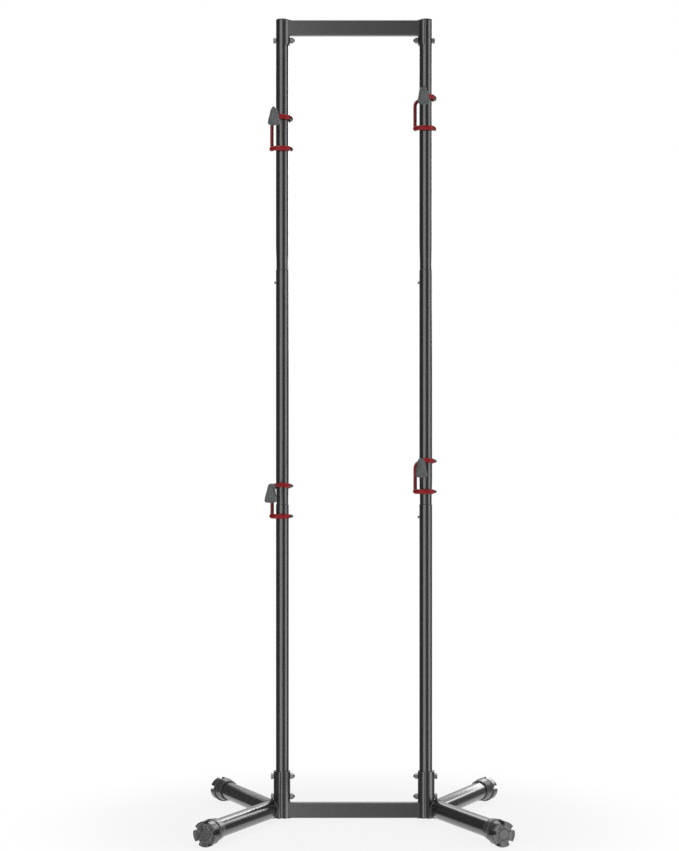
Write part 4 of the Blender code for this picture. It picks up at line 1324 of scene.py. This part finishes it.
def show_mixed(nodes, links, share, one, other, output):
    """Shows one shader where the share is 0, and the other where it is 1."""
    mix = nodes.new("ShaderNodeMixShader")
    links.new(share, mix.inputs["Fac"])
    links.new(one.outputs[0], mix.inputs[1])
    links.new(other.outputs[0], mix.inputs[2])
    links.new(mix.outputs[0], output.inputs["Surface"])


def add_world():
    """Plain white behind the rack and in its reflections, and a soft even fill on it."""
    world = bpy.data.worlds.new("studio")
    world.use_nodes = True
    bpy.context.scene.world = world
    nodes, links = world.node_tree.nodes, world.node_tree.links
    nodes.clear()
    fill = set_inputs(nodes.new("ShaderNodeBackground"), Color=WHITE, Strength=FILL_STRENGTH)
    white = set_inputs(nodes.new("ShaderNodeBackground"), Color=WHITE, Strength=1.0)
    output = nodes.new("ShaderNodeOutputWorld")
    show_mixed(nodes, links, seen_directly(nodes, links), fill, white, output)


def add_floor():
    """A pale floor that keeps the rack's shadow and turns to plain white away from it."""
    shape = bmesh.new()
    quarters = ((-1, -1), (1, -1), (1, 1), (-1, 1))
    shape.faces.new([shape.verts.new((x * FLOOR_REACH, y * FLOOR_REACH, -CLEARANCE)) for x, y in quarters])
    floor = placed("floor", meshed("floor", shape))
    material, nodes, links = new_material("pale_floor")
    shader = nodes["Principled BSDF"]
    set_inputs(shader, Base_Color=FLOOR_COLOUR, Roughness=FLOOR_ROUGHNESS, Specular_IOR_Level=FLOOR_SPECULAR)
    length = nodes.new("ShaderNodeVectorMath")
    length.operation = "LENGTH"
    links.new(nodes.new("ShaderNodeTexCoord").outputs["Object"], length.inputs[0])
    fade = nodes.new("ShaderNodeMapRange")
    fade.interpolation_type = "SMOOTHSTEP"
    set_inputs(fade, From_Min=FLOOR_FADE_START, From_Max=FLOOR_FADE_END, To_Min=FLOOR_LEAST_WHITE)
    links.new(length.outputs["Value"], fade.inputs["Value"])
    glow = set_inputs(nodes.new("ShaderNodeEmission"), Color=WHITE, Strength=1.0)
    shown = combined(nodes, links, "MULTIPLY", fade.outputs["Result"], seen_directly(nodes, links))
    show_mixed(nodes, links, shown, shader, glow, nodes["Material Output"])
    floor.data.materials.append(material)
    floor.visible_glossy = False
    floor.visible_shadow = False


def add_camera():
    camera = bpy.data.cameras.new("camera")
    camera.lens = LENS
    camera.sensor_width = SENSOR_WIDTH
    camera.shift_x = SHIFT_PIXELS / PICTURE_HEIGHT
    item = placed("camera", camera)
    item.location = (0, -CAMERA_DISTANCE, CAMERA_HEIGHT)
    item.rotation_euler = (pi / 2, 0, 0)
    bpy.context.scene.camera = item


def level_direction(bearing):
    """The level direction at a bearing."""
    return Vector((sin(bearing), -cos(bearing), 0))


def add_lights():
    """A tall panel on each side, whose reflections run down the posts as pale strips, and one overhead."""
    middle = Vector((0, 0, RACK_HEIGHT / 2))
    for name, first, last, glow in (
        ("left_panel", LEFT_STRIP_FIRST, LEFT_STRIP_LAST, LEFT_STRIP_GLOW),
        ("right_panel", RIGHT_STRIP_FIRST, RIGHT_STRIP_LAST, RIGHT_STRIP_GLOW),
    ):
        width = 2 * PANEL_DISTANCE * tan((last - first) / 2)
        place = middle + level_direction((first + last) / 2) * PANEL_DISTANCE
        add_area_light(name, place, middle, width, PANEL_HEIGHT, glow)
    add_area_light("top_panel", TOP_PANEL_PLACE, (0, 0, 0), TOP_PANEL_WIDTH, TOP_PANEL_DEPTH, TOP_PANEL_GLOW)


def add_card(name, shape, glow):
    """A card that is seen only in reflections, as even as its glow."""
    card = placed(name, meshed(name, shape))
    material, nodes, links = new_material(name)
    nodes.remove(nodes["Principled BSDF"])
    emission = set_inputs(nodes.new("ShaderNodeEmission"), Strength=glow)
    links.new(emission.outputs[0], nodes["Material Output"].inputs["Surface"])
    card.data.materials.append(material)
    card.visible_camera = False
    card.visible_diffuse = False
    card.visible_transmission = False
    card.visible_volume_scatter = False
    card.visible_shadow = False


def wall_shape(radius, first, last, base=WALL_BASE, top=WALL_TOP):
    """A curved wall round the rack, between two bearings from straight in front of it."""
    line = [level_direction(bearing).xy * radius for bearing in steps_between(first, last, WALL_STEPS)]
    shape = bmesh.new()
    low, high = [[shape.verts.new((x, y, height)) for x, y in line] for height in (base, top)]
    for index in range(WALL_STEPS):
        shape.faces.new((low[index], low[index + 1], high[index + 1], high[index]))
    return shape


def add_walls():
    """What the gloss of the frame shows: a dark wall in front, for the dark bands beside the strips in
    the posts; a paler card straight ahead, for the flat crossbars; a grey wall behind, for the edges of
    the tubes; three bright cards high in front of that, for the tops of the legs; and a grey card below,
    for their undersides."""
    for name, radius, first, last, glow in (
        ("dark_wall", WALL_RADIUS, DARK_WALL_FIRST, DARK_WALL_LAST, DARK_WALL_GLOW),
        ("front_card", FRONT_CARD_RADIUS, -FRONT_CARD_SWEEP, FRONT_CARD_SWEEP, FRONT_CARD_GLOW),
        ("grey_wall", WALL_RADIUS, DARK_WALL_LAST, tau + DARK_WALL_FIRST, GREY_WALL_GLOW),
    ):
        add_card(name, wall_shape(radius, first, last), glow)
    for name, first, last, base, top, glow in (
        ("side", SIDE_CARD_FIRST, BRIGHT_CARD_FIRST, SIDE_CARD_BASE, SIDE_CARD_TOP, SIDE_CARD_GLOW),
        ("bright", BRIGHT_CARD_FIRST, PALE_CARD_FIRST, BRIGHT_CARD_BASE, BRIGHT_CARD_TOP, BRIGHT_CARD_GLOW),
        ("pale", PALE_CARD_FIRST, PALE_CARD_LAST, PALE_CARD_BASE, PALE_CARD_TOP, PALE_CARD_GLOW),
    ):
        add_card(f"{name}_card", wall_shape(BACK_CARD_RADIUS, first, last, base, top), glow)
    disc = bmesh.new()
    disc.faces.new([disc.verts.new((x, y, WALL_BASE)) for x, y in circle(WALL_RADIUS, WALL_STEPS)])
    add_card("grey_card", disc, GREY_CARD_GLOW)


def build():
    for side, outward in (("left", -1), ("right", 1)):
        add_post(side, outward)
        add_leg_frame(side, outward)
        for end, back in (("front", -1), ("rear", 1)):
            add_cap(end, side, outward, back)
        for place in BOLT_HEIGHTS:
            add_bolt(side, outward, place)
        for joint in ("lower", "middle"):
            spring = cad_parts[f"{side}_{joint}_button_spring"]
            spring.data.materials.clear()
            spring.data.materials.append(FINISHES["steel"][1])
    add_crossbar("lower_crossbar", POST_FOOT, POST_FOOT, SADDLE_TOP)
    add_crossbar("upper_crossbar", UPPER_CROSSBAR_BASE, UPPER_SADDLE_BASE, UPPER_CROSSBAR_TOP)
    add_arm("upper_left", -1, RACK_HEIGHT - UPPER_LEFT_ARM_BELOW_TOP, 0.0)
    add_arm("upper_right", 1, RACK_HEIGHT - UPPER_RIGHT_ARM_BELOW_TOP, UPPER_RIGHT_SWIVEL)
    add_arm("lower_left", -1, LOWER_LEFT_ARM_HEIGHT, LOWER_LEFT_SWIVEL)
    add_arm("lower_right", 1, LOWER_RIGHT_ARM_HEIGHT, 0.0)

    bpy.context.scene.view_settings.view_transform = "Standard"
    add_world()
    add_floor()
    add_walls()
    add_lights()
    add_camera()


build()
